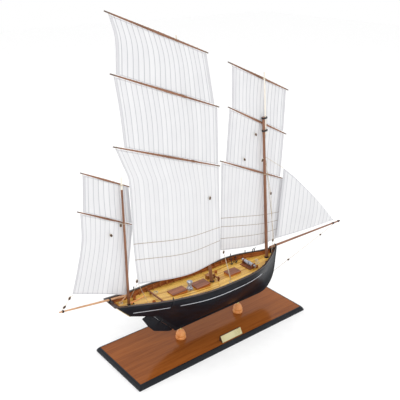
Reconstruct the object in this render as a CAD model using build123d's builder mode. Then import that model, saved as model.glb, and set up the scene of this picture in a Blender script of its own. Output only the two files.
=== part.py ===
from build123d import *
import os
from math import atan, cos, degrees, hypot, pi, radians, sin, tan

# Model of a three-masted fishing lugger on its stand, in millimetres.
# +X points to the bow, +Y to port, +Z up.  The origin is the centre of the stand's underside.

os.makedirs("parts", exist_ok=True)

# ---------------------------------------------------------------- driving dimensions
# stand
base_length = 500.0
base_width = 179.0
base_height = 11.2
moulding_width = 7.0
pedestal_height = 26.8
pedestal_diameter = 25.5
pedestal_positions = (-75.5, 103.5)
screw_diameter = 3.0
screw_head_diameter = 6.5
screw_head_height = 2.2
screw_gap = 0.1
plate_length = 61.0
plate_height = 16.0
plate_thickness = 0.8
plate_lean = 32.0
plate_centre = (16.5, -77.5)

# hull
hull_beam = 108.0
plank_thickness = 2.2
keel_siding = 5.0
keel_depth = 6.0
floor_depth = 6.0
bulwark_height = 12.0
deck_thickness = 1.6
stanchion_depth = 1.8
cap_rail_thickness = 1.6
cap_rail_overhang = 1.2
stripe_drop = 20.3
stripe_width = 1.5
stripe_proud = 0.4
topside_allowance = 8.0
transom_thickness = 2.5
spine_thickness = 4.0
bulkhead_thickness = 3.0
seat_gap = 0.1

# spars
foremast_radius = 4.2
mainmast_radius = 4.2
mizzenmast_radius = 3.0
topmast_radius = 2.3
yard_radius = 2.5
mizzen_yard_radius = 2.1
bowsprit_radius = 3.1
boomkin_radius = 2.5
sail_thickness = 0.8
sail_gap = 0.3
line_radius = 0.4
heel_depth = 12.0

# moving fittings
running_gap = 0.05
moving_gap = 0.4
pintle_radius = 0.8
gudgeon_radius = 1.6
rudder_gap = 1.9
rudder_thickness = 3.6
stock_radius = 2.2
barrel_radius = 4.2
spindle_radius = 1.5

# ---------------------------------------------------------------- lines of the hull
keel_z = base_height + pedestal_height
rabbet_z = keel_z + keel_depth
half_siding = keel_siding / 2

# x, half breadth over half beam, rail height above the keel, section fullness
stations = (
    (-262.0, 0.41, 135.5, 7.0),
    (-220.0, 0.556, 128.0, 6.2),
    (-180.0, 0.695, 121.0, 5.0),
    (-140.0, 0.843, 115.6, 3.7),
    (-95.0, 0.944, 110.2, 2.2),
    (-45.0, 0.99, 104.4, 1.1),
    (10.0, 1.0, 101.0, 0.8),
    (65.0, 0.99, 100.6, 0.85),
    (110.0, 0.954, 101.8, 1.1),
    (150.0, 0.778, 103.0, 1.5),
    (180.0, 0.528, 104.8, 1.9),
    (205.0, 0.278, 108.2, 2.2),
    (226.0, 0.067, 114.2, 2.4),
)
nose_station = (216.0, 0.167, 111.0, 2.3)
section_steps = (0.0, 0.08, 0.2, 0.38, 0.6, 0.82, 1.0)

stern_heel = (-93.0, 0.0)
sternpost_rake = degrees(atan(29.0 / 31.0))
sternpost_depth = 8.0
counter_height = 72.0
transom_foot = (-219.0, 96.0)
transom_head = (-256.0, 135.3)
forefoot_x = 150.0
stem_outer = ((201.6, 9.0), (219.8, 33.0), (225.4, 53.0), (228.5, 87.0), (231.0, 116.0))
stem_rabbet = ((194.0, 15.0), (212.0, 36.0), (218.5, 55.0), (222.5, 88.0), (225.5, 118.0))
stem_lining = ((188.0, 22.0), (205.0, 42.0), (211.5, 60.0), (215.5, 92.0), (218.0, 118.0))


def raised(points):
    """Points of a side profile, lifted from heights above the keel to heights above the table."""
    return [(x, keel_z + height) for x, height in points]


def along_sternpost(height, inward):
    """A point of the side profile at a height above the keel, inward of the sternpost's aft face."""
    return (
        stern_heel[0] - height * tan(radians(sternpost_rake)) + inward / cos(radians(sternpost_rake)),
        keel_z + height,
    )


sheer_points = [(x, keel_z + rail) for x, _, rail, _ in stations]
sheer_curve = Spline(*sheer_points)
fullness_curve = Spline(*[(x, 10 * fullness) for x, _, _, fullness in stations])
plan_curve = Spline(*[(x, fraction * hull_beam / 2) for x, fraction, _, _ in stations])


def read_curve(curve, x):
    """The second coordinate of a curve where its first is x."""
    low, high = 0.0, 1.0
    for _ in range(40):
        middle = (low + high) / 2
        if curve.position_at(middle).X < x:
            low = middle
        else:
            high = middle
    return curve.position_at(low).Y


def rail_z(x):
    return read_curve(sheer_curve, x)


def deck_z(x):
    return rail_z(x) - bulwark_height


def half_breadth(x):
    return read_curve(plan_curve, x)


def sheer_band(low, high):
    """Side-on strip that follows the sheer, from low to high relative to it."""
    with BuildSketch(Plane.XZ) as band:
        with BuildLine():
            top = [(x, z + high) for x, z in sheer_points]
            bottom = [(x, z + low) for x, z in sheer_points]
            Spline(*top)
            Line(top[-1], bottom[-1])
            Spline(*bottom)
            Line(bottom[0], top[0])
        make_face()
    return band.sketch


def hull_body(growth, fore_station, base_z):
    """Solid lofted through the stations, grown sideways, closed above the rail."""
    sections = []
    for x, fraction, rail, fullness in stations[:-1] + (fore_station,):
        half = fraction * hull_beam / 2 + growth
        siding = max(half_siding + growth, 0.6)
        top_z = keel_z + rail + topside_allowance
        side = [
            (siding + (half - siding) * sin(pi / 2 * step) ** fullness, base_z + (top_z - base_z) * step)
            for step in section_steps
        ]
        with BuildSketch(Plane.YZ.offset(x)) as section:
            with BuildLine():
                Spline(*side)
                Line(side[-1], (-side[-1][0], top_z))
                Spline(*[(-y, z) for y, z in side])
                Line((-siding, base_z), side[0])
            make_face()
        sections.append(section.sketch)
    with BuildPart() as body:
        loft(sections=sections)
    return body.part


def profile_prism(sketch, width=hull_beam + 20.0):
    """A side profile carried right across the hull."""
    with BuildPart() as prism:
        extrude(sketch, amount=width / 2, both=True)
    return prism.part


def round_bar(start, end, start_radius, end_radius, mode=Mode.ADD):
    """Straight round bar that tapers from one end to the other."""
    axis = Vector(*end) - Vector(*start)
    with BuildSketch(Plane(origin=start, z_dir=axis)) as near:
        Circle(start_radius)
    with BuildSketch(Plane(origin=end, z_dir=axis)) as far:
        Circle(end_radius)
    loft(sections=[near.sketch, far.sketch], ruled=True, mode=mode)


def trimmed(start, end, start_gap, end_gap):
    """The two points, each moved along the line between them by its gap."""
    first, last = Vector(*start), Vector(*end)
    step = (last - first).normalized()
    return tuple(first + step * start_gap), tuple(last - step * end_gap)


def taut_line(start, end, start_gap=0.0, end_gap=0.0):
    near, far = trimmed(start, end, start_gap, end_gap)
    round_bar(near, far, line_radius, line_radius)


def save(part, name):
    part.label = name
    export_step(part, f"parts/{name}.step")


# ---------------------------------------------------------------- stand
board_length = base_length - 2 * moulding_width
board_width = base_width - 2 * moulding_width

with BuildPart() as base_board:
    Box(board_length, board_width, base_height, align=(Align.CENTER, Align.CENTER, Align.MIN))
    with BuildSketch(Plane.XY):
        with Locations(*[(x, 0) for x in pedestal_positions]):
            Circle(screw_head_diameter / 2 + screw_gap)
    extrude(amount=screw_head_height + screw_gap, mode=Mode.SUBTRACT)
    with BuildSketch(Plane.XY):
        with Locations(*[(x, 0) for x in pedestal_positions]):
            Circle(screw_diameter / 2 + screw_gap)
    extrude(amount=base_height, mode=Mode.SUBTRACT)
save(base_board.part, "base_board")


def moulding_face():
    """Ogee section of the stand's edge, from its inner face outwards."""
    plinth = 0.38 * base_height
    with BuildSketch(Plane.XZ) as face:
        with BuildLine():
            Polyline((0, 0), (moulding_width, 0), (moulding_width, plinth))
            Line((moulding_width, plinth), (moulding_width - 1.2, plinth + 0.8))
            ThreePointArc(
                (moulding_width - 1.2, plinth + 0.8),
                (moulding_width - 2.2, 0.72 * base_height),
                (moulding_width - 4.6, base_height - 1.0),
            )
            Polyline((moulding_width - 4.6, base_height - 1.0), (moulding_width - 4.6, base_height),
                     (0, base_height))
            Line((0, base_height), (0, 0))
        make_face()
    return face.sketch


def moulding_run(inner_length, offset):
    """One mitred length of moulding that runs along Y, its inner face at x = offset."""
    with BuildPart() as run:
        section = moulding_face().moved(Location((offset, 0, 0)))
        extrude(section, amount=inner_length / 2 + moulding_width, both=True)
        with BuildSketch(Plane.XY):
            with BuildLine():
                Polyline(
                    (offset, -inner_length / 2),
                    (offset + moulding_width, -inner_length / 2 - moulding_width),
                    (offset + moulding_width, inner_length / 2 + moulding_width),
                    (offset, inner_length / 2),
                    close=True,
                )
            make_face()
        extrude(amount=base_height, mode=Mode.INTERSECT)
    return run.part


end_run = moulding_run(board_width, board_length / 2)
side_run = moulding_run(board_length, board_width / 2)
with BuildPart() as base_mouldings:
    for turn in (0, 180):
        add(end_run.rotate(Axis.Z, turn))
        add(side_run.rotate(Axis.Z, turn + 90))
save(base_mouldings.part, "base_mouldings")

# turned stand pedestals, each bored for its screw
pedestal_top_gap = 3.0
pedestal_wood_height = pedestal_height - pedestal_top_gap
foot_radius = pedestal_diameter / 2
bell_radius = 0.93 * foot_radius
with BuildPart() as stand_pedestals:
    for x in pedestal_positions:
        with BuildSketch(Plane(origin=(x, 0, base_height), x_dir=(1, 0, 0), z_dir=(0, -1, 0))) as turning:
            with BuildLine():
                bore = screw_diameter / 2 + screw_gap
                Polyline((bore, 0), (foot_radius, 0), (foot_radius, 3.0))
                ThreePointArc((foot_radius, 3.0), (foot_radius - 0.5, 4.6), (foot_radius - 2.0, 5.6))
                Line((foot_radius - 2.0, 5.6), (bell_radius - 0.5, 6.3))
                Spline(
                    (bell_radius - 0.5, 6.3),
                    (bell_radius, 0.35 * pedestal_wood_height),
                    (bell_radius - 1.0, 0.54 * pedestal_wood_height),
                    (bell_radius - 3.3, 0.74 * pedestal_wood_height),
                    (bell_radius - 6.6, 0.93 * pedestal_wood_height),
                )
                Polyline(
                    (bell_radius - 6.6, 0.93 * pedestal_wood_height),
                    (bell_radius - 7.9, pedestal_wood_height),
                    (bore, pedestal_wood_height),
                    (bore, 0),
                )
            make_face()
        revolve(turning.sketch, axis=Axis((x, 0, 0), (0, 0, 1)))
save(stand_pedestals.part, "stand_pedestals")

screw_top = rabbet_z + floor_depth - 1.0
with BuildPart() as pedestal_screws:
    for x in pedestal_positions:
        round_bar((x, 0, 0.2), (x, 0, screw_head_height), screw_head_diameter / 2, screw_head_diameter / 2)
        round_bar((x, 0, screw_head_height), (x, 0, screw_top), screw_diameter / 2, screw_diameter / 2)

with BuildPart() as stand_ferrules:
    for x in pedestal_positions:
        ferrule_foot = base_height + pedestal_wood_height
        round_bar((x, 0, ferrule_foot), (x, 0, keel_z), 3.4, 2.4)
        round_bar((x, 0, ferrule_foot), (x, 0, keel_z), screw_diameter / 2 + screw_gap,
                  screw_diameter / 2 + screw_gap, mode=Mode.SUBTRACT)

with BuildPart() as stand_screws:
    add(pedestal_screws.part)
    add(stand_ferrules.part)
save(stand_screws.part, "pedestal_screws")

# plate on its wedge-shaped block, leaning back towards the hull
plate_x, plate_y = plate_centre
lean = radians(plate_lean)
block_height = plate_height * cos(lean)
block_depth = plate_height * sin(lean)
with BuildPart() as plate_block:
    with BuildSketch(Plane(origin=(plate_x, plate_y, base_height), x_dir=(0, 1, 0), z_dir=(1, 0, 0))):
        with BuildLine():
            Polyline((-2.0, 0), (block_depth + 3.0, 0), (block_depth + 0.5, block_height), (block_depth - 2.0,
                     block_height), close=True)
        make_face()
    extrude(amount=plate_length / 2, both=True)
save(plate_block.part, "plate_block")

plate_plane = Plane(
    origin=(plate_x, plate_y - 2.0, base_height),
    x_dir=(1, 0, 0),
    z_dir=(0, -block_height, block_depth),
)
with BuildPart() as name_plate:
    with BuildSketch(plate_plane):
        with Locations((0, plate_height / 2)):
            Rectangle(plate_length, plate_height - 0.6)
    extrude(amount=plate_thickness)
save(name_plate.part, "name_plate")

# ---------------------------------------------------------------- hull solids shared by the parts
outer_body = hull_body(0.0, stations[-1], rabbet_z)
inner_body = hull_body(-plank_thickness, nose_station, rabbet_z + floor_depth)
rail_inset = plank_thickness + stanchion_depth
clear_body = hull_body(-rail_inset, nose_station, rabbet_z + floor_depth)
stripe_body = hull_body(stripe_proud, stations[-1], rabbet_z)
rail_body = hull_body(cap_rail_overhang, stations[-1], rabbet_z)

transom_run = (transom_head[0] - transom_foot[0], transom_head[1] - transom_foot[1])
transom_length = hypot(*transom_run)
transom_inward = (transom_run[1] / transom_length, -transom_run[0] / transom_length)


counter_run = (stern_heel[0] - counter_height * tan(radians(sternpost_rake)) - transom_foot[0],
               counter_height - transom_foot[1])


def transom_points(inward):
    """Lower and upper ends of a line that far inside the transom's outer face, run on upwards."""
    slide = inward / (counter_run[0] * transom_inward[0] + counter_run[1] * transom_inward[1])
    foot = (transom_foot[0] + slide * counter_run[0], transom_foot[1] + slide * counter_run[1])
    head = (foot[0] + 1.3 * transom_run[0], foot[1] + 1.3 * transom_run[1])
    return raised([foot, head])


def hull_outline(stern_inward):
    """Side profile of the planked hull, from the rabbet to well above the rail."""
    lower, upper = transom_points(stern_inward)
    counter_start = along_sternpost(counter_height, 0.0)
    with BuildSketch(Plane.XZ) as outline:
        with BuildLine():
            Line(lower, upper)
            Line(upper, (stem_rabbet[-1][0], upper[1]))
            Line((stem_rabbet[-1][0], upper[1]), raised(stem_rabbet)[-1])
            Spline((forefoot_x, rabbet_z), *raised(stem_rabbet), tangents=[(1, 0), (0.07, 1)])
            Line((forefoot_x, rabbet_z), along_sternpost(keel_depth, sternpost_depth))
            Line(along_sternpost(keel_depth, sternpost_depth),
                 along_sternpost(counter_height, sternpost_depth))
            Line(along_sternpost(counter_height, sternpost_depth), counter_start)
            Line(counter_start, lower)
        make_face()
    return outline.sketch


def void_outline():
    """Side profile of the space inside the planking, open at the transom and above."""
    wall = plank_thickness + 0.4
    floor_z = rabbet_z + floor_depth
    lower, upper = transom_points(transom_thickness)
    slope = (transom_foot[1] - counter_height) / (transom_foot[0] - along_sternpost(counter_height, 0.0)[0])
    start = along_sternpost(counter_height + wall, sternpost_depth + wall)
    aft = (lower[0] - wall, start[1] + slope * (lower[0] - wall - start[0]))
    with BuildSketch(Plane.XZ) as outline:
        with BuildLine():
            Polyline(start, aft, (upper[0], upper[1]), (stem_lining[-1][0], upper[1]))
            Line((stem_lining[-1][0], upper[1]), raised(stem_lining)[-1])
            Spline((forefoot_x, floor_z), *raised(stem_lining), tangents=[(1, 0), (0.07, 1)])
            Line((forefoot_x, floor_z), along_sternpost(keel_depth + floor_depth, sternpost_depth + wall))
            Line(along_sternpost(keel_depth + floor_depth, sternpost_depth + wall), start)
        make_face()
    return outline.sketch


inside_transom = profile_prism(hull_outline(transom_thickness))
full_profile = profile_prism(hull_outline(0.0))
below_sheer = profile_prism(sheer_band(-150.0, 0.0))
below_deck = profile_prism(sheer_band(-150.0, -bulwark_height))

with BuildPart() as void:
    add(inner_body)
    extrude(void_outline(), amount=hull_beam, both=True, mode=Mode.INTERSECT)
    add(inside_transom, mode=Mode.INTERSECT)

# ---------------------------------------------------------------- rudder axis
rake = radians(sternpost_rake)
axis_up = Vector(-sin(rake), 0, cos(rake))
axis_aft = Vector(-cos(rake), 0, -sin(rake))
axis_origin = Vector(stern_heel[0], 0, keel_z) + axis_aft * rudder_gap
stock_height = 163.3
blade_top = 99.0
gudgeon_heights = (25.0, 55.0, 85.0)
gudgeon_depth = 2.4


def on_rudder(aft, up):
    """A point on the centre plane, aft of the rudder's axis and up along it."""
    return tuple(axis_origin + axis_aft * aft + axis_up * up)


with BuildPart() as stock_hole:
    round_bar(on_rudder(0, blade_top - 8), on_rudder(0, stock_height + 8), stock_radius + moving_gap,
              stock_radius + moving_gap)

# ---------------------------------------------------------------- hull
with BuildPart() as hull_shell:
    add(outer_body)
    add(inside_transom, mode=Mode.INTERSECT)
    add(below_sheer, mode=Mode.INTERSECT)
    add(void.part, mode=Mode.SUBTRACT)
    add(stock_hole.part, mode=Mode.SUBTRACT)
    for x in pedestal_positions:
        round_bar((x, 0, keel_z), (x, 0, screw_top + screw_gap), screw_diameter / 2 + screw_gap,
                  screw_diameter / 2 + screw_gap, mode=Mode.SUBTRACT)
save(hull_shell.part, "hull_shell")

with BuildPart() as transom:
    add(outer_body)
    add(full_profile, mode=Mode.INTERSECT)
    add(below_sheer, mode=Mode.INTERSECT)
    add(inside_transom, mode=Mode.SUBTRACT)
save(transom.part, "transom")

with BuildPart() as keel_assembly:
    with BuildSketch(Plane.XZ) as backbone:
        with BuildLine():
            stem_head = raised(stem_outer)[-1]
            post_head = along_sternpost(counter_height, 0.0)
            Line(along_sternpost(0.0, 0.0), (forefoot_x, keel_z))
            Spline((forefoot_x, keel_z), *raised(stem_outer), tangents=[(1, 0), (0.07, 1)])
            Line(stem_head, (post_head[0], stem_head[1]))
            Line((post_head[0], stem_head[1]), post_head)
            Line(post_head, along_sternpost(0.0, 0.0))
        make_face()
    extrude(amount=half_siding, both=True)
    add(full_profile, mode=Mode.SUBTRACT)
    for x in pedestal_positions:
        round_bar((x, 0, keel_z - 1), (x, 0, rabbet_z + 1), screw_diameter / 2 + screw_gap,
                  screw_diameter / 2 + screw_gap, mode=Mode.SUBTRACT)
save(keel_assembly.part, "keel_assembly")

# masts: foot, direction and the heights that matter
foremast_x = 198.2
foremast_rake = 4.85
foremast_length = 369.0
mainmast_x = 18.5
mainmast_rake = 10.0
mainmast_length = 470.0
mizzenmast_x = -211.7
mizzenmast_rake = 0.6
mizzenmast_length = 264.0
topmast_offset = 5.8
topmast_doubling = 42.0


def mast_foot(x):
    """Where a mast passes through the top of the deck."""
    return (x, 0.0, deck_z(x))


foremast_foot = mast_foot(foremast_x)
mainmast_foot = mast_foot(mainmast_x)
mizzenmast_foot = mast_foot(mizzenmast_x)


def up_mast(foot, mast_rake, distance, forward=0.0):
    """A point on a raked mast, a distance above the deck along it and offset forward of it."""
    angle = radians(mast_rake)
    return (
        foot[0] - distance * sin(angle) + forward * cos(angle),
        foot[1],
        foot[2] + distance * cos(angle) + forward * sin(angle),
    )


def mast_bore(foot, mast_rake, radius, mode=Mode.SUBTRACT):
    """Seat of a mast's heel through the deck and the spine."""
    round_bar(up_mast(foot, mast_rake, -heel_depth - seat_gap), up_mast(foot, mast_rake, 30.0),
              radius + seat_gap, radius + seat_gap, mode=mode)


mast_feet = (
    (foremast_foot, foremast_rake, foremast_radius),
    (mainmast_foot, mainmast_rake, mainmast_radius),
    (mizzenmast_foot, mizzenmast_rake, mizzenmast_radius),
)

with BuildPart() as deck:
    extrude(sheer_band(-bulwark_height - deck_thickness, -bulwark_height), amount=hull_beam, both=True)
    add(void.part, mode=Mode.INTERSECT)
    add(stock_hole.part, mode=Mode.SUBTRACT)
    for foot, mast_rake, radius in mast_feet:
        mast_bore(foot, mast_rake, radius)
save(deck.part, "deck")

under_deck = profile_prism(sheer_band(-150.0, -bulwark_height - deck_thickness))
half_lap_z = keel_z + 50.0
bulkhead_positions = (-130.0, -82.0, -34.0, 42.0, 84.0, 128.0, 170.0)
with BuildPart() as keel_spine:
    Box(600.0, spine_thickness, 400.0)
    add(void.part, mode=Mode.INTERSECT)
    add(under_deck, mode=Mode.INTERSECT)
    add(stock_hole.part, mode=Mode.SUBTRACT)
    for foot, mast_rake, radius in mast_feet:
        mast_bore(foot, mast_rake, radius)
    with Locations(*[(x, 0, half_lap_z) for x in bulkhead_positions]):
        Box(bulkhead_thickness + 2 * seat_gap, hull_beam, 300.0,
            align=(Align.CENTER, Align.CENTER, Align.MIN), mode=Mode.SUBTRACT)
save(keel_spine.part, "keel_spine")

with BuildPart() as bulkheads:
    with Locations(*[(x, 0, keel_z) for x in bulkhead_positions]):
        Box(bulkhead_thickness, hull_beam * 2, 200.0, align=(Align.CENTER, Align.CENTER, Align.MIN))
    add(void.part, mode=Mode.INTERSECT)
    add(under_deck, mode=Mode.INTERSECT)
    with Locations((0, 0, half_lap_z)):
        Box(600.0, spine_thickness + 2 * seat_gap, 300.0,
            align=(Align.CENTER, Align.CENTER, Align.MAX), mode=Mode.SUBTRACT)
save(bulkheads.part, "bulkheads")

stanchion_width = 2.2
stanchion_pitch = 21.0
stanchion_count = 19
stanchion_start = -206.0
stanchion_gap = 0.3


def inner_breadth(x, z):
    """Half breadth inside the planking at a height, from the same section rule as the hull."""
    fullness = read_curve(fullness_curve, x) / 10
    base = rabbet_z + floor_depth
    step = (z - base) / (rail_z(x) + topside_allowance - base)
    half = half_breadth(x) - plank_thickness
    siding = max(half_siding - plank_thickness, 0.6)
    return siding + (half - siding) * sin(pi / 2 * step) ** fullness


with BuildPart() as stanchions:
    for index in range(stanchion_count):
        x = stanchion_start + stanchion_pitch * index
        post_bottom = deck_z(x) + stanchion_gap
        post_y = inner_breadth(x, post_bottom) - stanchion_depth
        with Locations((x, post_y, post_bottom), (x, -post_y, post_bottom)):
            Box(stanchion_width, stanchion_depth, bulwark_height - 2 * stanchion_gap,
                align=(Align.CENTER, Align.CENTER, Align.MIN))
save(stanchions.part, "stanchions")

with BuildPart() as cap_rail:
    extrude(sheer_band(0.0, cap_rail_thickness), amount=hull_beam, both=True)
    add(rail_body, mode=Mode.INTERSECT)
    add(clear_body, mode=Mode.SUBTRACT)
    with Locations((transom_head[0] + 6.0, 0, 0)):
        Box(600.0, 400.0, 1000.0, align=(Align.MIN, Align.CENTER, Align.CENTER), mode=Mode.INTERSECT)
    add(keel_assembly.part, mode=Mode.SUBTRACT)
taffrail_width = 5.0
with BuildPart() as taffrail:
    extrude(sheer_band(0.0, cap_rail_thickness), amount=hull_beam, both=True)
    add(rail_body, mode=Mode.INTERSECT)
    with Locations((transom_head[0] + 6.0 - seat_gap, 0, 0)):
        Box(taffrail_width + 4.0, 400.0, 1000.0,
            align=(Align.MAX, Align.CENTER, Align.CENTER), mode=Mode.INTERSECT)

with BuildPart() as rail_set:
    add(cap_rail.part)
    add(taffrail.part)
save(rail_set.part, "cap_rail")

timber_x = -127.0
timber_width = 3.4
stripe_break = (timber_x - 3.0, timber_x + 22.0)
with BuildPart() as sheer_stripe:
    extrude(sheer_band(-stripe_drop - stripe_width, -stripe_drop), amount=hull_beam, both=True)
    add(stripe_body, mode=Mode.INTERSECT)
    add(outer_body, mode=Mode.SUBTRACT)
    with Locations((transom_foot[0] + 4.0, 0, 0)):
        Box(146.0 - transom_foot[0] - 4.0, 400.0, 1000.0,
            align=(Align.MIN, Align.CENTER, Align.CENTER), mode=Mode.INTERSECT)
    with Locations((stripe_break[0], 0, 0)):
        Box(stripe_break[1] - stripe_break[0], 400.0, 1000.0,
            align=(Align.MIN, Align.CENTER, Align.CENTER), mode=Mode.SUBTRACT)
save(sheer_stripe.part, "sheer_stripe")

with BuildPart() as side_timbers:
    with Locations((timber_x, 0, 0)):
        Box(timber_width, 400.0, 1000.0)
    add(rail_body, mode=Mode.INTERSECT)
    add(outer_body, mode=Mode.SUBTRACT)
    add(profile_prism(sheer_band(-stripe_drop - 4.0, 0.0)), mode=Mode.INTERSECT)
save(side_timbers.part, "side_timbers")

# moulded edge of the transom and the rail across its top
edge_width = 2.2
edge_proud = 1.0
with BuildPart() as transom_mouldings:
    add(rail_body)
    add(below_sheer, mode=Mode.INTERSECT)
    add(profile_prism(hull_outline(-edge_proud)), mode=Mode.INTERSECT)
    add(full_profile, mode=Mode.SUBTRACT)
    add(hull_body(-edge_width, nose_station, rabbet_z), mode=Mode.SUBTRACT)
save(transom_mouldings.part, "transom_mouldings")

# ---------------------------------------------------------------- deck fittings
# name, centre x, length, half width, height of the coaming
hatches = (
    ("main", -16.5, 39.0, 13.5, 4.5),
    ("fore", 83.0, 34.0, 12.0, 4.0),
    ("aft", -83.0, 40.0, 11.0, 4.0),
)
coaming_wall = 1.8
cover_thickness = 1.4


def hatch_block(x, length, half_width, bottom, top, mode=Mode.ADD):
    with Locations((x, 0, bottom)):
        Box(length, 2 * half_width, top - bottom, align=(Align.CENTER, Align.CENTER, Align.MIN), mode=mode)


with BuildPart() as hatch_coamings:
    for _, x, length, half_width, height in hatches:
        hatch_block(x, length, half_width, deck_z(x) - 6, deck_z(x) + height)
    for _, x, length, half_width, height in hatches:
        hatch_block(x, length - 2 * coaming_wall, half_width - coaming_wall, deck_z(x) - 8,
                    deck_z(x) + height + 1, mode=Mode.SUBTRACT)
    add(below_deck, mode=Mode.SUBTRACT)
save(hatch_coamings.part, "hatch_coamings")

with BuildPart() as hatch_covers:
    for _, x, length, half_width, height in hatches:
        top = deck_z(x) + height
        hatch_block(x, length + 1.0, half_width + 0.5, top + seat_gap, top + seat_gap + cover_thickness)
        hatch_block(x, length - 2 * coaming_wall - 0.4, half_width - coaming_wall - 0.2, top - 1.0,
                    top + seat_gap)
save(hatch_covers.part, "hatch_covers")

capstan_x = -48.0
capstan_z = deck_z(capstan_x)
capstan_height = 19.0
capstan_foot_radius = 7.0
capstan_waist_radius = 4.4
capstan_neck_radius = 5.2
capstan_head_radius = 6.8
capstan_head_depth = 5.0
with BuildPart() as capstan_base:
    with Locations((capstan_x, 0, capstan_z - 3)):
        Cylinder(capstan_foot_radius + 0.8, 5.0, align=(Align.CENTER, Align.CENTER, Align.MIN))
        Cylinder(spindle_radius, 3.0 + capstan_height, align=(Align.CENTER, Align.CENTER, Align.MIN))
    add(below_deck, mode=Mode.SUBTRACT)
save(capstan_base.part, "capstan_base")

capstan_side = Plane(origin=(capstan_x, 0, capstan_z + 2.4), x_dir=(1, 0, 0), z_dir=(0, -1, 0))
with BuildPart() as capstan_drum:
    with BuildSketch(capstan_side) as turning:
        with BuildLine():
            inner = spindle_radius + running_gap
            neck = capstan_height - capstan_head_depth
            Polyline((inner, 0), (capstan_foot_radius, 0), (capstan_foot_radius, 1.4))
            Spline((capstan_foot_radius, 1.4), (capstan_waist_radius, neck * 0.52),
                   (capstan_neck_radius, neck))
            Polyline((capstan_neck_radius, neck), (capstan_head_radius, neck + 0.8),
                     (capstan_head_radius, capstan_height - 1.4),
                     (capstan_head_radius - 1.6, capstan_height - 0.4),
                     (0, capstan_height - 0.4), (0, capstan_height - 2.0), (inner, capstan_height - 2.0),
                     (inner, 0))
        make_face()
    revolve(turning.sketch, axis=Axis((capstan_x, 0, 0), (0, 0, 1)))
save(capstan_drum.part, "capstan_drum")

windlass_x = 137.0
windlass_half_length = 15.0
windlass_axle_height = 8.5
cheek_thickness = 2.4
windlass_z = deck_z(windlass_x)
axle_z = windlass_z + windlass_axle_height
cheek_y = windlass_half_length + cheek_thickness / 2
with BuildPart() as windlass_bitts:
    with Locations((windlass_x, 0, windlass_z - 3)):
        Box(26.0, 2 * windlass_half_length + 6.0, 5.2, align=(Align.CENTER, Align.CENTER, Align.MIN))
    for side in (-1, 1):
        with BuildSketch(Plane(origin=(windlass_x, side * cheek_y, windlass_z), x_dir=(1, 0, 0),
                               z_dir=(0, -1, 0))) as cheek:
            with BuildLine():
                Polyline((-9, 0), (9, 0), (4.5, windlass_axle_height + 4.0),
                         (-4.5, windlass_axle_height + 4.0), close=True)
            make_face()
            with Locations((0, windlass_axle_height)):
                Circle(spindle_radius + running_gap, mode=Mode.SUBTRACT)
        extrude(cheek.sketch, amount=cheek_thickness / 2, both=True)
    add(below_deck, mode=Mode.SUBTRACT)
save(windlass_bitts.part, "windlass_bitts")

with BuildPart() as windlass_barrel:
    barrel_plane = Plane(origin=(windlass_x, windlass_half_length - moving_gap, axle_z), x_dir=(1, 0, 0),
                         z_dir=(0, -1, 0))
    with BuildSketch(barrel_plane) as drum:
        RegularPolygon(barrel_radius, 8)
    extrude(drum.sketch, amount=2 * (windlass_half_length - moving_gap))
    axle_end = Plane(origin=(windlass_x, cheek_y + 7.0, axle_z), x_dir=(1, 0, 0), z_dir=(0, -1, 0))
    with BuildSketch(axle_end) as axle:
        Circle(spindle_radius)
    extrude(axle.sketch, amount=2 * (cheek_y + 7.0))
    for side in (-1, 1):
        near = side * (cheek_y + cheek_thickness / 2 + moving_gap)
        far = side * (cheek_y + 7.0)
        round_bar((windlass_x, near, axle_z), (windlass_x, far, axle_z), 2.9, 3.4)
    with Locations((windlass_x, 0, axle_z)):
        Cylinder(barrel_radius + 1.2, 2.4, rotation=(90, 0, 0))
save(windlass_barrel.part, "windlass_barrel")

rail_posts = ((119.0, 1), (158.0, 1), (176.0, 1), (-128.0, -1), (60.0, 1), (-175.0, 1), (158.0, -1))
post_height = 6.0
post_radius = 1.1
crutch_x = 180.0
crutch_y = half_breadth(crutch_x) - 1.6
crutch_z = rail_z(crutch_x) + cap_rail_thickness
with BuildPart() as rail_pins:
    for x, side in rail_posts:
        y = side * (half_breadth(x) - 1.6)
        foot_z = rail_z(x) + cap_rail_thickness
        round_bar((x, y, foot_z - 1.4), (x, y, foot_z + post_height), post_radius, post_radius * 0.8)
        round_bar((x, y, foot_z + post_height - 1.8), (x, y, foot_z + post_height),
                  post_radius, post_radius * 1.5)
    round_bar((crutch_x, crutch_y, crutch_z - 1.4), (crutch_x, crutch_y, crutch_z + 4.0), 1.1, 1.1)
    for lean_x in (-1, 1):
        round_bar((crutch_x, crutch_y, crutch_z + 3.6), (crutch_x + lean_x * 3.6, crutch_y, crutch_z + 10.5),
                  0.9, 0.7)
    add(profile_prism(sheer_band(-150.0, cap_rail_thickness)), mode=Mode.SUBTRACT)
save(rail_pins.part, "rail_pins")


anchor_spots = ((108.0, 30.0, 12.0), (122.0, 30.0, 9.0))
with BuildPart() as anchors:
    for x, y, reach in anchor_spots:
        crown_z = deck_z(x) + 1.6
        ring_end = (x + 6.0, y + reach, crown_z + 13.0)
        round_bar((x, y, crown_z), ring_end, 1.0, 0.8)
        for side in (-1, 1):
            round_bar((x, y, crown_z), (x + side * 6.5, y + 2.0, crown_z + 4.6), 1.0, 0.8)
            round_bar((x + 4.6, y + 0.78 * reach, crown_z + 10.2),
                      (x + 4.6 + side * 1.5, y + 0.78 * reach - side * 6.0, crown_z + 10.2 + side * 3.4),
                      0.8, 0.7)
save(anchors.part, "anchors")

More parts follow.
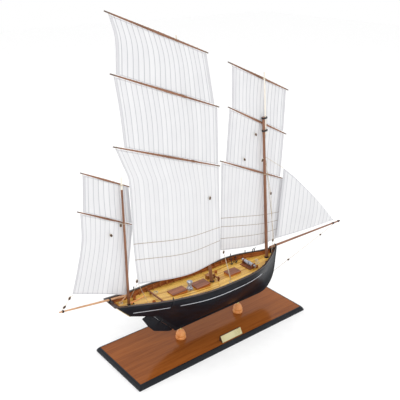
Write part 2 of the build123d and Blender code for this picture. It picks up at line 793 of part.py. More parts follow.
coil_tube_radius = 0.9
rope_coil_spots = (
    (163.0, -4.0, 4.6), (171.0, 8.0, 3.8), (52.0, -30.0, 4.2), (40.0, 33.0, 4.2), (-126.0, 24.0, 4.4),
    (-196.0, -20.0, 4.0), (-224.0, 12.0, 4.0), (-225.0, -9.0, 4.0),
)
with BuildPart() as rope_coils:
    for x, y, radius in rope_coil_spots:
        with Locations((x, y, deck_z(x) + 0.6)):
            Torus(radius, coil_tube_radius)
    add(below_deck, mode=Mode.SUBTRACT)
save(rope_coils.part, "rope_coils")

# ---------------------------------------------------------------- rudder
blade_outline = ((rudder_gap, 10.0), (8.0, 18.5), (24.6, 57.0), (23.3, 79.0), (17.1, 106.5),
                 (rudder_gap, blade_top))
bearding_radius = 1.6
bearding_tops = (*[height - 0.5 for height in gudgeon_heights], blade_top)
bearding_feet = (blade_outline[0][1], *[height + 2 * gudgeon_depth for height in gudgeon_heights])
rudder_side = Plane(origin=tuple(axis_origin), x_dir=tuple(axis_aft), z_dir=(0, 1, 0))
with BuildPart() as rudder:
    with BuildSketch(rudder_side) as blade:
        with BuildLine():
            Polyline(*blade_outline, close=True)
        make_face()
    extrude(blade.sketch, amount=rudder_thickness / 2, both=True)
    round_bar(on_rudder(0, blade_top), on_rudder(0, stock_height), stock_radius, stock_radius)
    for foot, top in zip(bearding_feet, bearding_tops):
        round_bar(on_rudder(0, foot), on_rudder(0, top), bearding_radius, bearding_radius)
        with BuildSketch(rudder_side) as web:
            Polygon((0, foot), (rudder_gap + 0.4, foot), (rudder_gap + 0.4, top), (0, top), align=None)
        extrude(web.sketch, amount=bearding_radius * 0.9, both=True)
    for height in gudgeon_heights:
        round_bar(on_rudder(0, height + gudgeon_depth + 0.3), on_rudder(0, height + 2 * gudgeon_depth),
                  gudgeon_radius, gudgeon_radius)
        round_bar(on_rudder(0, height - 0.4), on_rudder(0, height + 2 * gudgeon_depth),
                  pintle_radius, pintle_radius)
        with BuildSketch(Plane(origin=on_rudder(0, height + gudgeon_depth + 0.3), x_dir=tuple(axis_aft),
                               z_dir=tuple(axis_up))) as strap:
            with Locations((4.4, 0)):
                Rectangle(9.2, rudder_thickness + 1.2)
        extrude(strap.sketch, amount=gudgeon_depth - 0.3)
save(rudder.part, "rudder")

with BuildPart() as gudgeons:
    for height in gudgeon_heights:
        ring_plane = Plane(origin=on_rudder(0, height), x_dir=tuple(axis_aft), z_dir=tuple(axis_up))
        with BuildSketch(ring_plane) as iron:
            Circle(gudgeon_radius)
            with Locations((-3.6, 0)):
                Rectangle(7.2, keel_siding + 1.2)
            with Locations((-rudder_gap - 10.0, 0)):
                Rectangle(20.0, keel_siding, mode=Mode.SUBTRACT)
            with Locations((0.9 + rudder_gap / 2, 0)):
                Rectangle(1.8, keel_siding + 2.0, mode=Mode.SUBTRACT)
            Circle(gudgeon_radius)
            Circle(pintle_radius + running_gap, mode=Mode.SUBTRACT)
        extrude(iron.sketch, amount=gudgeon_depth)
save(gudgeons.part, "gudgeons")

tiller_length = 34.0
with BuildPart() as tiller:
    round_bar(on_rudder(0, stock_height - 3.2), on_rudder(0, stock_height + 0.2), 2.6, 2.6)
    hub = on_rudder(0, stock_height - 1.6)
    round_bar((hub[0] + 2.0, 0, hub[2]), (hub[0] + tiller_length, 0, hub[2] + 5.0), 1.5, 1.0)
    round_bar(on_rudder(0, blade_top), on_rudder(0, stock_height), stock_radius, stock_radius,
              mode=Mode.SUBTRACT)
save(tiller.part, "tiller")

# ---------------------------------------------------------------- masts
mast_taper = 0.7
fore_topmast_length = 144.0
main_topmast_length = 154.0
pole_head_length = 26.0


def lower_mast(foot, mast_rake, radius, length, growth=0.0, mode=Mode.ADD):
    round_bar(up_mast(foot, mast_rake, -heel_depth), up_mast(foot, mast_rake, length),
              radius + growth, radius * mast_taper + growth, mode=mode)


def topmast(foot, mast_rake, lower_length, length, growth=0.0, mode=Mode.ADD):
    heel = lower_length - topmast_doubling
    round_bar(up_mast(foot, mast_rake, heel, topmast_offset),
              up_mast(foot, mast_rake, heel + length, topmast_offset),
              topmast_radius + growth, topmast_radius * 0.65 + growth, mode=mode)


fore = (foremast_foot, foremast_rake)
main = (mainmast_foot, mainmast_rake)
mizzen = (mizzenmast_foot, mizzenmast_rake)

with BuildPart() as foremast:
    lower_mast(*fore, foremast_radius, foremast_length)
save(foremast.part, "foremast")
with BuildPart() as mainmast:
    lower_mast(*main, mainmast_radius, mainmast_length)
save(mainmast.part, "mainmast")
with BuildPart() as mizzenmast:
    lower_mast(*mizzen, mizzenmast_radius, mizzenmast_length)
with BuildPart() as fore_topmast:
    topmast(*fore, foremast_length, fore_topmast_length)
save(fore_topmast.part, "fore_topmast")
with BuildPart() as main_topmast:
    topmast(*main, mainmast_length, main_topmast_length)
save(main_topmast.part, "main_topmast")
with BuildPart() as mizzen_pole_head:
    round_bar(up_mast(*mizzen, mizzenmast_length + seat_gap),
              up_mast(*mizzen, mizzenmast_length + pole_head_length),
              mizzenmast_radius * mast_taper * 0.9, mizzenmast_radius * mast_taper * 0.7)

with BuildPart() as mizzen_set:
    add(mizzenmast.part)
    add(mizzen_pole_head.part)
save(mizzen_set.part, "mizzenmast")

# caps that hold each topmast against the head of its lower mast
cap_height = 3.2
cap_wall = 1.6
cap_stations = (4.0, topmast_doubling - 8.0)
with BuildPart() as mast_caps:
    for (foot, mast_rake), radius, length, upper_length in (
        (fore, foremast_radius, foremast_length, fore_topmast_length),
        (main, mainmast_radius, mainmast_length, main_topmast_length),
    ):
        for down in cap_stations:
            base = up_mast(foot, mast_rake, length - down)
            rise = Vector(-sin(radians(mast_rake)), 0, cos(radians(mast_rake)))
            forward = (cos(radians(mast_rake)), 0, sin(radians(mast_rake)))
            with BuildSketch(Plane(origin=base, x_dir=forward, z_dir=tuple(rise))) as cap:
                with Locations((topmast_offset / 2, 0)):
                    SlotCenterToCenter(topmast_offset, 2 * (radius * mast_taper + cap_wall) + 0.6)
            extrude(cap.sketch, amount=cap_height)
    for (foot, mast_rake), radius, length, upper_length in (
        (fore, foremast_radius, foremast_length, fore_topmast_length),
        (main, mainmast_radius, mainmast_length, main_topmast_length),
    ):
        lower_mast(foot, mast_rake, radius, length, seat_gap, mode=Mode.SUBTRACT)
        topmast(foot, mast_rake, length, upper_length, seat_gap, mode=Mode.SUBTRACT)

coat_height = 3.0
with BuildPart() as mast_coats:
    for mast, radius, flange in (
        (fore, foremast_radius, 1.9), (main, mainmast_radius, 1.9), (mizzen, mizzenmast_radius, 1.1),
    ):
        round_bar(up_mast(*mast, -2.0), up_mast(*mast, coat_height), radius + flange, radius + flange / 2)
    add(below_deck, mode=Mode.SUBTRACT)
    lower_mast(*fore, foremast_radius, foremast_length, seat_gap, mode=Mode.SUBTRACT)
    lower_mast(*main, mainmast_radius, mainmast_length, seat_gap, mode=Mode.SUBTRACT)
    lower_mast(*mizzen, mizzenmast_radius, mizzenmast_length, seat_gap, mode=Mode.SUBTRACT)
    for _, x, length, half_width, height in hatches:
        hatch_block(x, length + 1.4, half_width + 0.7, deck_z(x) - 8, deck_z(x) + 8, mode=Mode.SUBTRACT)

with BuildPart() as mast_collars:
    add(mast_caps.part)
    add(mast_coats.part)
save(mast_collars.part, "mast_collars")

bitt_x = 32.0
bitt_spread = 8.0
with BuildPart() as mast_bitts:
    for side in (-1, 1):
        with Locations((bitt_x, side * bitt_spread, deck_z(bitt_x) - 3)):
            Box(3.0, 3.0, 15.0, align=(Align.CENTER, Align.CENTER, Align.MIN))
    with Locations((bitt_x, 0, deck_z(bitt_x) + 7.5)):
        Box(2.4, 2 * bitt_spread + 9.0, 2.4)
    add(below_deck, mode=Mode.SUBTRACT)
save(mast_bitts.part, "mast_bitts")

# ---------------------------------------------------------------- bowsprit and boomkin
bowsprit_heel = (208.5, 0.0, 119.3)
bowsprit_tip = (480.8, 0.0, 117.1)
boomkin_heel = (-206.0, 6.3, 134.0)
boomkin_tip = (-369.4, 0.0, 158.7)
iron_wall = 1.2
iron_width = 3.0


def lifted(point):
    """A point given by its height above the keel, in the model's frame."""
    return (point[0], point[1], keel_z + point[2])


def along(start, end, x, drop=0.0):
    """The point of a straight spar at x, lowered by drop."""
    share = (x - start[0]) / (end[0] - start[0])
    return tuple(a + (b - a) * share - (drop if i == 2 else 0.0) for i, (a, b) in enumerate(zip(start, end)))


sprit_start, sprit_end = lifted(bowsprit_heel), lifted(bowsprit_tip)
kin_start, kin_end = lifted(boomkin_heel), lifted(boomkin_tip)
with BuildPart() as bowsprit:
    round_bar(sprit_start, sprit_end, bowsprit_radius, bowsprit_radius * 0.62)
save(bowsprit.part, "bowsprit")
with BuildPart() as boomkin:
    round_bar(kin_start, kin_end, boomkin_radius, boomkin_radius * 0.64)


def spar_ring(start, end, x, radius_at_x):
    """Iron band round a spar, with a chock under it."""
    round_bar(along(start, end, x - iron_width / 2), along(start, end, x + iron_width / 2),
              radius_at_x + iron_wall, radius_at_x + iron_wall)


gammon_x = 226.5
outrigger_x = transom_head[0] + 1.0
sprit_bands = ((gammon_x, 0.97), (452.0, 0.65), (474.0, 0.63))
with BuildPart() as spar_irons:
    for x, share in sprit_bands:
        spar_ring(sprit_start, sprit_end, x, bowsprit_radius * share)
    for x, share in ((outrigger_x, 0.9), (-362.0, 0.66)):
        spar_ring(kin_start, kin_end, x, boomkin_radius * share)
    chock_top = along(sprit_start, sprit_end, gammon_x)[2]
    with Locations((gammon_x, 0, chock_top)):
        Box(iron_width, 3.0, bowsprit_radius + 4.0, align=(Align.CENTER, Align.CENTER, Align.MAX))
    kin_middle = along(kin_start, kin_end, outrigger_x)
    with Locations((outrigger_x, kin_middle[1], kin_middle[2])):
        Box(iron_width, 3.0, 20.0, align=(Align.CENTER, Align.CENTER, Align.MAX))
    add(profile_prism(sheer_band(-150.0, cap_rail_thickness)), mode=Mode.SUBTRACT)
    add(keel_assembly.part, mode=Mode.SUBTRACT)
    round_bar(sprit_start, sprit_end, bowsprit_radius + seat_gap, bowsprit_radius * 0.62 + seat_gap,
              mode=Mode.SUBTRACT)
    round_bar(kin_start, kin_end, boomkin_radius + seat_gap, boomkin_radius * 0.64 + seat_gap,
              mode=Mode.SUBTRACT)
save(spar_irons.part, "spar_irons")

brace_foot = (-243.0, -14.0, rail_z(-243.0) + cap_rail_thickness + 1.6)
brace_head = along(kin_start, kin_end, -212.0)
brace_start, brace_end = trimmed(brace_foot, (brace_head[0], brace_head[1], brace_head[2] + 0.2), 0.0, 6.2)
with BuildPart() as boomkin_brace:
    round_bar(brace_start, brace_end, 1.3, 1.1)

with BuildPart() as boomkin_set:
    add(boomkin.part)
    add(boomkin_brace.part)
save(boomkin_set.part, "boomkin")

# ---------------------------------------------------------------- yards: forward end, aft end
yards = {
    "main_lug_yard": ((31.1, -9.0, 377.0), (-233.9, -9.0, 472.0)),
    "main_topsail_yard": ((26.3, -9.0, 509.0), (-231.6, -9.0, 608.2)),
    "main_topgallant_yard": ((-4.3, -9.0, 623.5), (-236.4, -9.0, 716.9)),
    "fore_lug_yard": ((258.4, 8.0, 289.2), (45.5, 8.0, 381.0)),
    "fore_topsail_yard": ((253.1, 8.0, 405.5), (66.4, 8.0, 499.7)),
    "fore_topgallant_yard": ((251.7, 8.0, 512.0), (64.2, 8.0, 596.3)),
    "mizzen_lug_yard": ((-185.7, 7.0, 291.5), (-310.7, 7.0, 354.5)),
    "mizzen_topsail_yard": ((-191.0, 7.0, 376.4), (-298.0, 7.0, 430.1)),
}
yard_tip_share = 0.5


def yard_size(name):
    return mizzen_yard_radius if name.startswith("mizzen") else yard_radius


def yard_point(name, x, rise=0.0):
    """A point on a yard's centre line at x, in the side profile, moved up by rise."""
    start, end = lifted(yards[name][0]), lifted(yards[name][1])
    x_share = (x - start[0]) / (end[0] - start[0])
    return (x, start[2] + (end[2] - start[2]) * x_share + rise)


def under_yard(name, x):
    return yard_point(name, x, -yard_size(name) * 1.12 - sail_gap)


def over_yard(name, x):
    return yard_point(name, x, yard_size(name) * 1.12 + sail_gap)


for yard_name, (yard_fore, yard_aft) in yards.items():
    yard_middle = tuple((a + b) / 2 for a, b in zip(lifted(yard_fore), lifted(yard_aft)))
    with BuildPart() as yard:
        for tip in (yard_fore, yard_aft):
            round_bar(yard_middle, lifted(tip), yard_size(yard_name), yard_size(yard_name) * yard_tip_share)
    save(yard.part, yard_name)

# ring that holds each yard to its mast: yard, mast, mast radius, how far forward the pole stands
parrel_wire = 0.6
parrel_slack = 1.3
parrel_masts = (
    ("main_lug_yard", main, mainmast_radius * 0.82, 0.0),
    ("main_topgallant_yard", main, topmast_radius * 0.75, topmast_offset),
    ("fore_lug_yard", fore, foremast_radius * 0.8, 0.0),
    ("fore_topgallant_yard", fore, topmast_radius * 0.8, topmast_offset),
    ("mizzen_lug_yard", mizzen, mizzenmast_radius * 0.8, 0.0),
    ("mizzen_topsail_yard", mizzen, mizzenmast_radius * mast_taper, 0.0),
)


def crossing(name, mast, forward):
    """How far up its mast a yard crosses it."""
    low, high = 0.0, 800.0
    for _ in range(40):
        middle = (low + high) / 2
        x, _, z = up_mast(*mast, middle, forward)
        if z < yard_point(name, x)[1]:
            low = middle
        else:
            high = middle
    return low


with BuildPart() as parrels:
    for name, mast, radius, forward in parrel_masts:
        climb = crossing(name, mast, forward)
        centre = up_mast(*mast, climb, forward)
        tilt = Vector(*up_mast(*mast, climb + 1.0, forward)) - Vector(*centre)
        with Locations(Plane(origin=centre, z_dir=tuple(tilt))):
            Torus(radius + parrel_slack, parrel_wire)
save(parrels.part, "parrels")

# ---------------------------------------------------------------- sails: plane and edges of each
sails = {
    "main_lugsail": (-9.0, (
        [under_yard("main_lug_yard", 27.0), under_yard("main_lug_yard", -229.0)],
        [under_yard("main_lug_yard", -229.0), (-215.0, keel_z + 432.0), (-203.0, keel_z + 398.0),
         (-199.0, keel_z + 258.0), (-192.0, keel_z + 162.0)],
        [(-192.0, keel_z + 162.0), (-60.0, keel_z + 141.0), (36.0, keel_z + 147.0)],
        [(36.0, keel_z + 147.0), under_yard("main_lug_yard", 27.0)],
    )),
    "main_topsail": (-9.0, (
        [under_yard("main_topsail_yard", 21.0), under_yard("main_topsail_yard", -224.0)],
        [under_yard("main_topsail_yard", -224.0), (-215.5, keel_z + 540.0),
         over_yard("main_lug_yard", -209.0)],
        [over_yard("main_lug_yard", -209.0), over_yard("main_lug_yard", 26.0)],
        [over_yard("main_lug_yard", 26.0), under_yard("main_topsail_yard", 21.0)],
    )),
    "main_topgallant": (-9.0, (
        [under_yard("main_topgallant_yard", -9.0), under_yard("main_topgallant_yard", -228.0)],
        [under_yard("main_topgallant_yard", -228.0), (-217.5, keel_z + 670.0),
         over_yard("main_topsail_yard", -219.0)],
        [over_yard("main_topsail_yard", -219.0), over_yard("main_topsail_yard", 13.0)],
        [over_yard("main_topsail_yard", 13.0), under_yard("main_topgallant_yard", -9.0)],
    )),
    "fore_lugsail": (8.0, (
        [under_yard("fore_lug_yard", 253.0), under_yard("fore_lug_yard", 50.0)],
        [under_yard("fore_lug_yard", 50.0), (50.0, keel_z + 158.0)],
        [(50.0, keel_z + 158.0), (130.0, keel_z + 139.0), (188.0, keel_z + 130.5), (237.0, keel_z + 133.0)],
        [(237.0, keel_z + 133.0), (242.5, keel_z + 196.0), under_yard("fore_lug_yard", 253.0)],
    )),
    "fore_topsail": (8.0, (
        [under_yard("fore_topsail_yard", 245.0), under_yard("fore_topsail_yard", 71.0)],
        [under_yard("fore_topsail_yard", 71.0), over_yard("fore_lug_yard", 63.0)],
        [over_yard("fore_lug_yard", 63.0), over_yard("fore_lug_yard", 240.0)],
        [over_yard("fore_lug_yard", 240.0), under_yard("fore_topsail_yard", 245.0)],
    )),
    "fore_topgallant": (8.0, (
        [under_yard("fore_topgallant_yard", 244.0), under_yard("fore_topgallant_yard", 76.0)],
        [under_yard("fore_topgallant_yard", 76.0), over_yard("fore_topsail_yard", 78.0)],
        [over_yard("fore_topsail_yard", 78.0), over_yard("fore_topsail_yard", 242.0)],
        [over_yard("fore_topsail_yard", 242.0), under_yard("fore_topgallant_yard", 244.0)],
    )),
    "mizzen_lugsail": (7.0, (
        [under_yard("mizzen_lug_yard", -190.0), under_yard("mizzen_lug_yard", -304.0)],
        [under_yard("mizzen_lug_yard", -304.0), (-306.5, keel_z + 290.0), (-321.0, keel_z + 230.0),
         (-335.0, keel_z + 184.0)],
        [(-335.0, keel_z + 184.0), (-212.0, keel_z + 136.0)],
        [(-212.0, keel_z + 136.0), under_yard("mizzen_lug_yard", -190.0)],
    )),
    "mizzen_topsail": (7.0, (
        [under_yard("mizzen_topsail_yard", -195.0), under_yard("mizzen_topsail_yard", -293.0)],
        [under_yard("mizzen_topsail_yard", -293.0), over_yard("mizzen_lug_yard", -298.0)],
        [over_yard("mizzen_lug_yard", -298.0), over_yard("mizzen_lug_yard", -191.0)],
        [over_yard("mizzen_lug_yard", -191.0), under_yard("mizzen_topsail_yard", -195.0)],
    )),
    "jib": (0.0, (
        [(452.0, keel_z + 127.0), (385.0, keel_z + 197.0), (296.0, keel_z + 280.0), (243.0, keel_z + 323.0)],
        [(243.0, keel_z + 323.0), (236.0, keel_z + 228.0), (230.0, keel_z + 138.5)],
        [(230.0, keel_z + 138.5), (330.0, keel_z + 132.0), (452.0, keel_z + 127.0)],
    )),
}

for sail_name, (side_y, edges) in sails.items():
    with BuildPart() as sail:
        with BuildSketch(Plane.XZ.offset(-side_y)) as cloth:
            with BuildLine():
                for edge in edges:
                    if len(edge) == 2:
                        Line(*edge)
                    else:
                        Spline(*edge)
            make_face()
        extrude(cloth.sketch, amount=sail_thickness / 2, both=True)
    save(sail.part, sail_name)

# ---------------------------------------------------------------- blocks and rigging
block_length = 7.0
block_width = 4.6
block_thickness = 3.2
block_reach = block_length / 2 + 0.3
# x, y, height above the keel, lean of the block from upright
block_spots = {
    "main_halyard": (0.2, -13.0, 310.0, 10.0),
    "main_tack": (43.5, -11.5, 163.0, 8.0),
    "main_clew": (-197.0, -12.6, 172.0, 0.0),
    "fore_halyard_upper": (196.5, -6.0, 270.4, -8.0),
    "fore_halyard_lower": (211.0, -6.0, 140.8, -4.0),
    "fore_masthead": (161.7, -7.6, 362.3, 30.0),
    "fore_peak": (149.2, 4.0, 423.8, -30.0),
    "fore_lift": (116.4, 4.0, 370.7, -30.0),
    "mizzen_sheet_upper": (-343.2, 5.0, 178.1, 25.0),
    "mizzen_sheet_lower": (-357.0, 2.5, 164.5, 60.0),
    "mizzen_lift": (-242.5, 3.0, 286.0, -35.0),
    "mizzen_halyard": (-220.1, 1.5, 302.3, -10.0),
    "bobstay_lower": (280.0, 0.0, 61.0, -70.0),
    "bobstay_upper": (402.0, 0.0, 97.0, -70.0),
}


def block_at(name):
    x, y, height, _ = block_spots[name]
    return (x, y, keel_z + height)


with BuildPart() as blocks:
    for name, (x, y, height, lean_angle) in block_spots.items():
        with BuildSketch(Plane(origin=(x, y, keel_z + height), x_dir=(1, 0, 0), z_dir=(0, -1, 0))) as shell:
            SlotOverall(block_length, block_width, rotation=90.0 - lean_angle)
        extrude(shell.sketch, amount=block_thickness / 2, both=True)
save(blocks.part, "blocks")

mast_gap = 4.9
tackle_spread = 1.2
bobstay_eye = (226.5, 0.0, keel_z + 46.0)


def beside_mast(mast, climb, side_y):
    """A point level with a mast's axis, out to one side of it."""
    x, _, z = up_mast(*mast, climb)
    return (x, side_y, z)


with BuildPart() as standing_rigging:
    taut_line(up_mast(*fore, 262.0, 5.2), (222.0, -3.6, rail_z(222.0) + 3.0), 0.0, 0.8)
    taut_line(bobstay_eye, block_at("bobstay_lower"), 0.6, block_reach)
    taut_line(block_at("bobstay_lower"), block_at("bobstay_upper"), block_reach, block_reach)
    taut_line(block_at("bobstay_upper"), (452.0, 0.0, sprit_end[2] - 3.8), block_reach, 0.4)
    for offset in (-12.0, 10.0):
        shroud_x = mainmast_x - 46.0 + offset
        taut_line(beside_mast(main, 308.0 + offset / 4, mast_gap), (shroud_x, half_breadth(shroud_x) - 1.5,
                  rail_z(shroud_x) + cap_rail_thickness), 0.0, 0.8)
save(standing_rigging.part, "standing_rigging")

with BuildPart() as running_rigging:
    taut_line(beside_mast(fore, 258.0, -mast_gap), block_at("fore_halyard_upper"), 0.0, block_reach)
    taut_line(block_at("fore_halyard_upper"), block_at("fore_halyard_lower"), block_reach, block_reach)
    taut_line(block_at("fore_halyard_lower"), (209.5, -4.6, deck_z(209.5)), block_reach, 0.6)
    taut_line(up_mast(*fore, 270.0, mast_gap), (243.0, 0.0, keel_z + 323.0), 0.0, 2.0)
    for offset in (-tackle_spread, 0.0, tackle_spread):
        taut_line(block_at("main_tack"), (60.5 + offset, -19.5, deck_z(60.5)), block_reach, 0.6)
    taut_line((-193.0, -11.4, keel_z + 164.0), (-170.0, -12.0, deck_z(-170.0)), 0.8, 0.6)
    taut_line((-196.0, -11.4, keel_z + 164.0), (-203.0, 14.0, deck_z(-203.0)), 0.8, 0.6)
    taut_line((-335.0, 5.6, keel_z + 183.0), block_at("mizzen_sheet_upper"), 0.6, block_reach)
    taut_line(block_at("mizzen_sheet_upper"), block_at("mizzen_sheet_lower"), block_reach, block_reach)
    taut_line(block_at("mizzen_sheet_lower"), along(kin_start, kin_end, -363.0, -3.4), block_reach, 0.4)
save(running_rigging.part, "running_rigging")
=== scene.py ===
"""Looks of a three-masted lugger on its moulded stand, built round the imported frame.

Lengths are in metres on the frame's axes: X forward, Y to port, Z up.
"""

import logging
import math
from collections.abc import Callable, Iterable, Sequence
from dataclasses import dataclass, field
from enum import Enum

import bpy
from mathutils import Matrix, Vector


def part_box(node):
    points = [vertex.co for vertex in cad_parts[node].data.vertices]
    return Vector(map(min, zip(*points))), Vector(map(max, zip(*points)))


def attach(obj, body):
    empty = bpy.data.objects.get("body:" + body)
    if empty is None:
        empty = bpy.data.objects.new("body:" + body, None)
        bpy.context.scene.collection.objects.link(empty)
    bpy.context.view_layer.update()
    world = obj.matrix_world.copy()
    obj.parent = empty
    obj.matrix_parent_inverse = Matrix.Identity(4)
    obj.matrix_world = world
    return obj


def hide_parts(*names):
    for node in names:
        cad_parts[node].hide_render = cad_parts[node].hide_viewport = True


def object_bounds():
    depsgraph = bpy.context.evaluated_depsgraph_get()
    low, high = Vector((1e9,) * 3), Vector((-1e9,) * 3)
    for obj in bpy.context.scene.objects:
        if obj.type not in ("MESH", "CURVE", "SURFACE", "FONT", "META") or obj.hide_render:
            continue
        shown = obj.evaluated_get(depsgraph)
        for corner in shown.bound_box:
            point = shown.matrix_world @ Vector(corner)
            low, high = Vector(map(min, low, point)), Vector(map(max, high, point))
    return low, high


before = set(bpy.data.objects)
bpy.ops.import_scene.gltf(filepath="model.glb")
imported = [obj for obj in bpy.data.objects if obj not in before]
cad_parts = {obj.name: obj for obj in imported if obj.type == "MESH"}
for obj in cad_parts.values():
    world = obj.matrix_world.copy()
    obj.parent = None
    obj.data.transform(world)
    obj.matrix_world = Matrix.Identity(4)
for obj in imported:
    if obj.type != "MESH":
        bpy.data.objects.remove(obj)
CAD_LOW, CAD_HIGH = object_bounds()

LOG = logging.getLogger("lugger")
MM = 0.001

Colour = tuple[float, float, float, float]
Profile = tuple[float, float]
Size = tuple[float, float, float]
Step = Callable[[], object]


def srgb(red: float, green: float, blue: float) -> Colour:
    """Turns a paint chart colour into the shader's linear one.

    Args:
        red: red from 0 to 255.
        green: green from 0 to 255.
        blue: blue from 0 to 255.

    Returns:
        The linear colour, opaque.
    """

    def linear(level: float) -> float:
        share = level / 255
        return share / 12.92 if share <= 0.04045 else ((share + 0.055) / 1.055) ** 2.4

    return (linear(red), linear(green), linear(blue), 1.0)


class Axis(Enum):
    """The way that wood grain runs."""

    ALONG = 0
    ACROSS = 1
    UPRIGHT = 2


class Value:
    """A number in a shader, on which Python's operators add Math nodes."""

    def __init__(self, sheet: "Shader", socket: bpy.types.NodeSocket) -> None:
        """Wraps one output socket of a shader's node."""
        self.sheet = sheet
        self.socket = socket

    def __add__(self, other: "Value | float") -> "Value":
        """Adds."""
        return self.sheet.math("ADD", self, other)

    __radd__ = __add__

    def __sub__(self, other: "Value | float") -> "Value":
        """Takes the other away."""
        return self.sheet.math("SUBTRACT", self, other)

    def __rsub__(self, other: float) -> "Value":
        """Takes this one away from a plain number."""
        return self.sheet.math("SUBTRACT", other, self)

    def __mul__(self, other: "Value | float") -> "Value":
        """Multiplies."""
        return self.sheet.math("MULTIPLY", self, other)

    __rmul__ = __mul__

    def __truediv__(self, other: "Value | float") -> "Value":
        """Divides."""
        return self.sheet.math("DIVIDE", self, other)

    def __lt__(self, other: "Value | float") -> "Value":
        """Gives 1 where this is the smaller."""
        return self.sheet.math("LESS_THAN", self, other)

    def __gt__(self, other: "Value | float") -> "Value":
        """Gives 1 where this is the larger."""
        return self.sheet.math("GREATER_THAN", self, other)

    def __abs__(self) -> "Value":
        """Drops the sign."""
        return self.sheet.math("ABSOLUTE", self)

    def floor(self) -> "Value":
        """Rounds down."""
        return self.sheet.math("FLOOR", self)

    def fraction(self) -> "Value":
        """Keeps what follows the point."""
        return self.sheet.math("FRACT", self)

    def least(self, other: "Value | float") -> "Value":
        """Takes the smaller of the two."""
        return self.sheet.math("MINIMUM", self, other)

    def clipped(self) -> "Value":
        """Keeps it from 0 to 1."""
        return self.sheet.math("MAXIMUM", self.least(1.0), 0.0)


class Shader:
    """One material, with the few kinds of node that this model's finishes are made of."""

    def __init__(self, name: str, **uniform: float | Colour) -> None:
        """Starts a material with a Principled surface.

        Args:
            name: the material's name.
            uniform: values of the surface's sockets that are the same all over, by name with _ for a space.
        """
        self.material = bpy.data.materials.new(name)
        self.material.use_nodes = True
        self.tree = self.material.node_tree
        self.tree.nodes.clear()
        self.surface = self.node("ShaderNodeBsdfPrincipled")
        self.output = self.node("ShaderNodeOutputMaterial")
        self.tree.links.new(self.surface.outputs["BSDF"], self.output.inputs["Surface"])
        for key, value in uniform.items():
            self.surface.inputs[key.replace("_", " ")].default_value = value
        self.coordinates = self.node("ShaderNodeTexCoord")

    def node(
        self, kind: str, settings: dict | None = None, inputs: dict | None = None, stops: Sequence = ()
    ) -> bpy.types.Node:
        """Adds a node.

        Args:
            kind: the node's type.
            settings: its own settings, which are set first.
            inputs: a value or a link for each socket, by its name or number.
            stops: a ramp's stops, each a place and a colour.

        Returns:
            The node.
        """
        made = self.tree.nodes.new(kind)
        for key, value in (settings or {}).items():
            setattr(made, key, value)
        if stops:
            ramp = made.color_ramp
            while len(ramp.elements) < len(stops):
                ramp.elements.new(0.5)
            for element, (place, colour) in zip(ramp.elements, stops):
                element.position = place
                element.color = colour
        for key, value in (inputs or {}).items():
            self.feed(made.inputs[key], value)
        return made

    def feed(self, socket: bpy.types.NodeSocket, value: object) -> None:
        """Links a value or a socket into a socket, or sets a plain value on it."""
        if isinstance(value, Value):
            value = value.socket
        if isinstance(value, bpy.types.NodeSocket):
            self.tree.links.new(value, socket)
        else:
            socket.default_value = value

    def math(self, operation: str, *terms: "Value | float") -> Value:
        """Adds a Math node on its terms and gives its result."""
        made = self.node("ShaderNodeMath", {"operation": operation}, dict(enumerate(terms)))
        return Value(self, made.outputs[0])

    def place(self, tilt: float = 0.0, stretch: Size = (1, 1, 1)) -> bpy.types.NodeSocket:
        """Gives the point on the model as a vector.

        Args:
            tilt: turn about the Y axis, in radians, for a part that leans.
            stretch: features per metre along each axis.

        Returns:
            The vector's socket.
        """
        turned = self.node(
            "ShaderNodeVectorRotate",
            {"rotation_type": "Y_AXIS"},
            {"Vector": self.coordinates.outputs["Object"], "Angle": tilt},
        )
        scaled = self.node(
            "ShaderNodeVectorMath", {"operation": "MULTIPLY"}, {0: turned.outputs["Vector"], 1: stretch}
        )
        return scaled.outputs["Vector"]

    def parts(self, vector: bpy.types.NodeSocket) -> tuple[Value, Value, Value]:
        """Splits a vector into its three numbers."""
        made = self.node("ShaderNodeSeparateXYZ", inputs={0: vector})
        return tuple(Value(self, socket) for socket in made.outputs)

    def noise(self, vector: bpy.types.NodeSocket, detail: float = 2.0, warp: float = 0.0) -> Value:
        """Gives soft noise with one feature to each unit of the vector."""
        inputs = {"Vector": vector, "Scale": 1.0, "Detail": detail, "Distortion": warp}
        return Value(self, self.node("ShaderNodeTexNoise", inputs=inputs).outputs["Fac"])

    def chance(self, number: Value) -> Value:
        """Gives one random share for each whole number."""
        made = self.node("ShaderNodeTexWhiteNoise", {"noise_dimensions": "1D"}, {"W": number})
        return Value(self, made.outputs["Value"])

    def ramp(self, share: Value, *stops: tuple[float, Colour]) -> bpy.types.NodeSocket:
        """Turns a share into a colour."""
        return self.node("ShaderNodeValToRGB", inputs={"Fac": share}, stops=stops).outputs["Color"]

    def mix(self, share: "Value | float", first: object, second: object) -> bpy.types.NodeSocket:
        """Mixes two colours."""
        made = self.node("ShaderNodeMix", {"data_type": "RGBA"}, {0: share, 6: first, 7: second})
        return made.outputs[2]

    def finish(self, colour: object, roughness: "Value | float", height: Value | None = None,
               strength: float = 0.3, depth: float = 0.1 * MM) -> bpy.types.Material:
        """Feeds the surface and gives the material.

        Args:
            colour: the base colour or its socket.
            roughness: the roughness.
            height: relief from 0 to 1, where there is any.
            strength: how much of the relief shows.
            depth: the relief's depth.

        Returns:
            The finished material.
        """
        self.feed(self.surface.inputs["Base Color"], colour)
        self.feed(self.surface.inputs["Roughness"], roughness)
        if height is not None:
            inputs = {"Strength": strength, "Distance": depth, "Height": height}
            bump = self.node("ShaderNodeBump", inputs=inputs)
            self.feed(self.surface.inputs["Normal"], bump.outputs["Normal"])
        return self.material


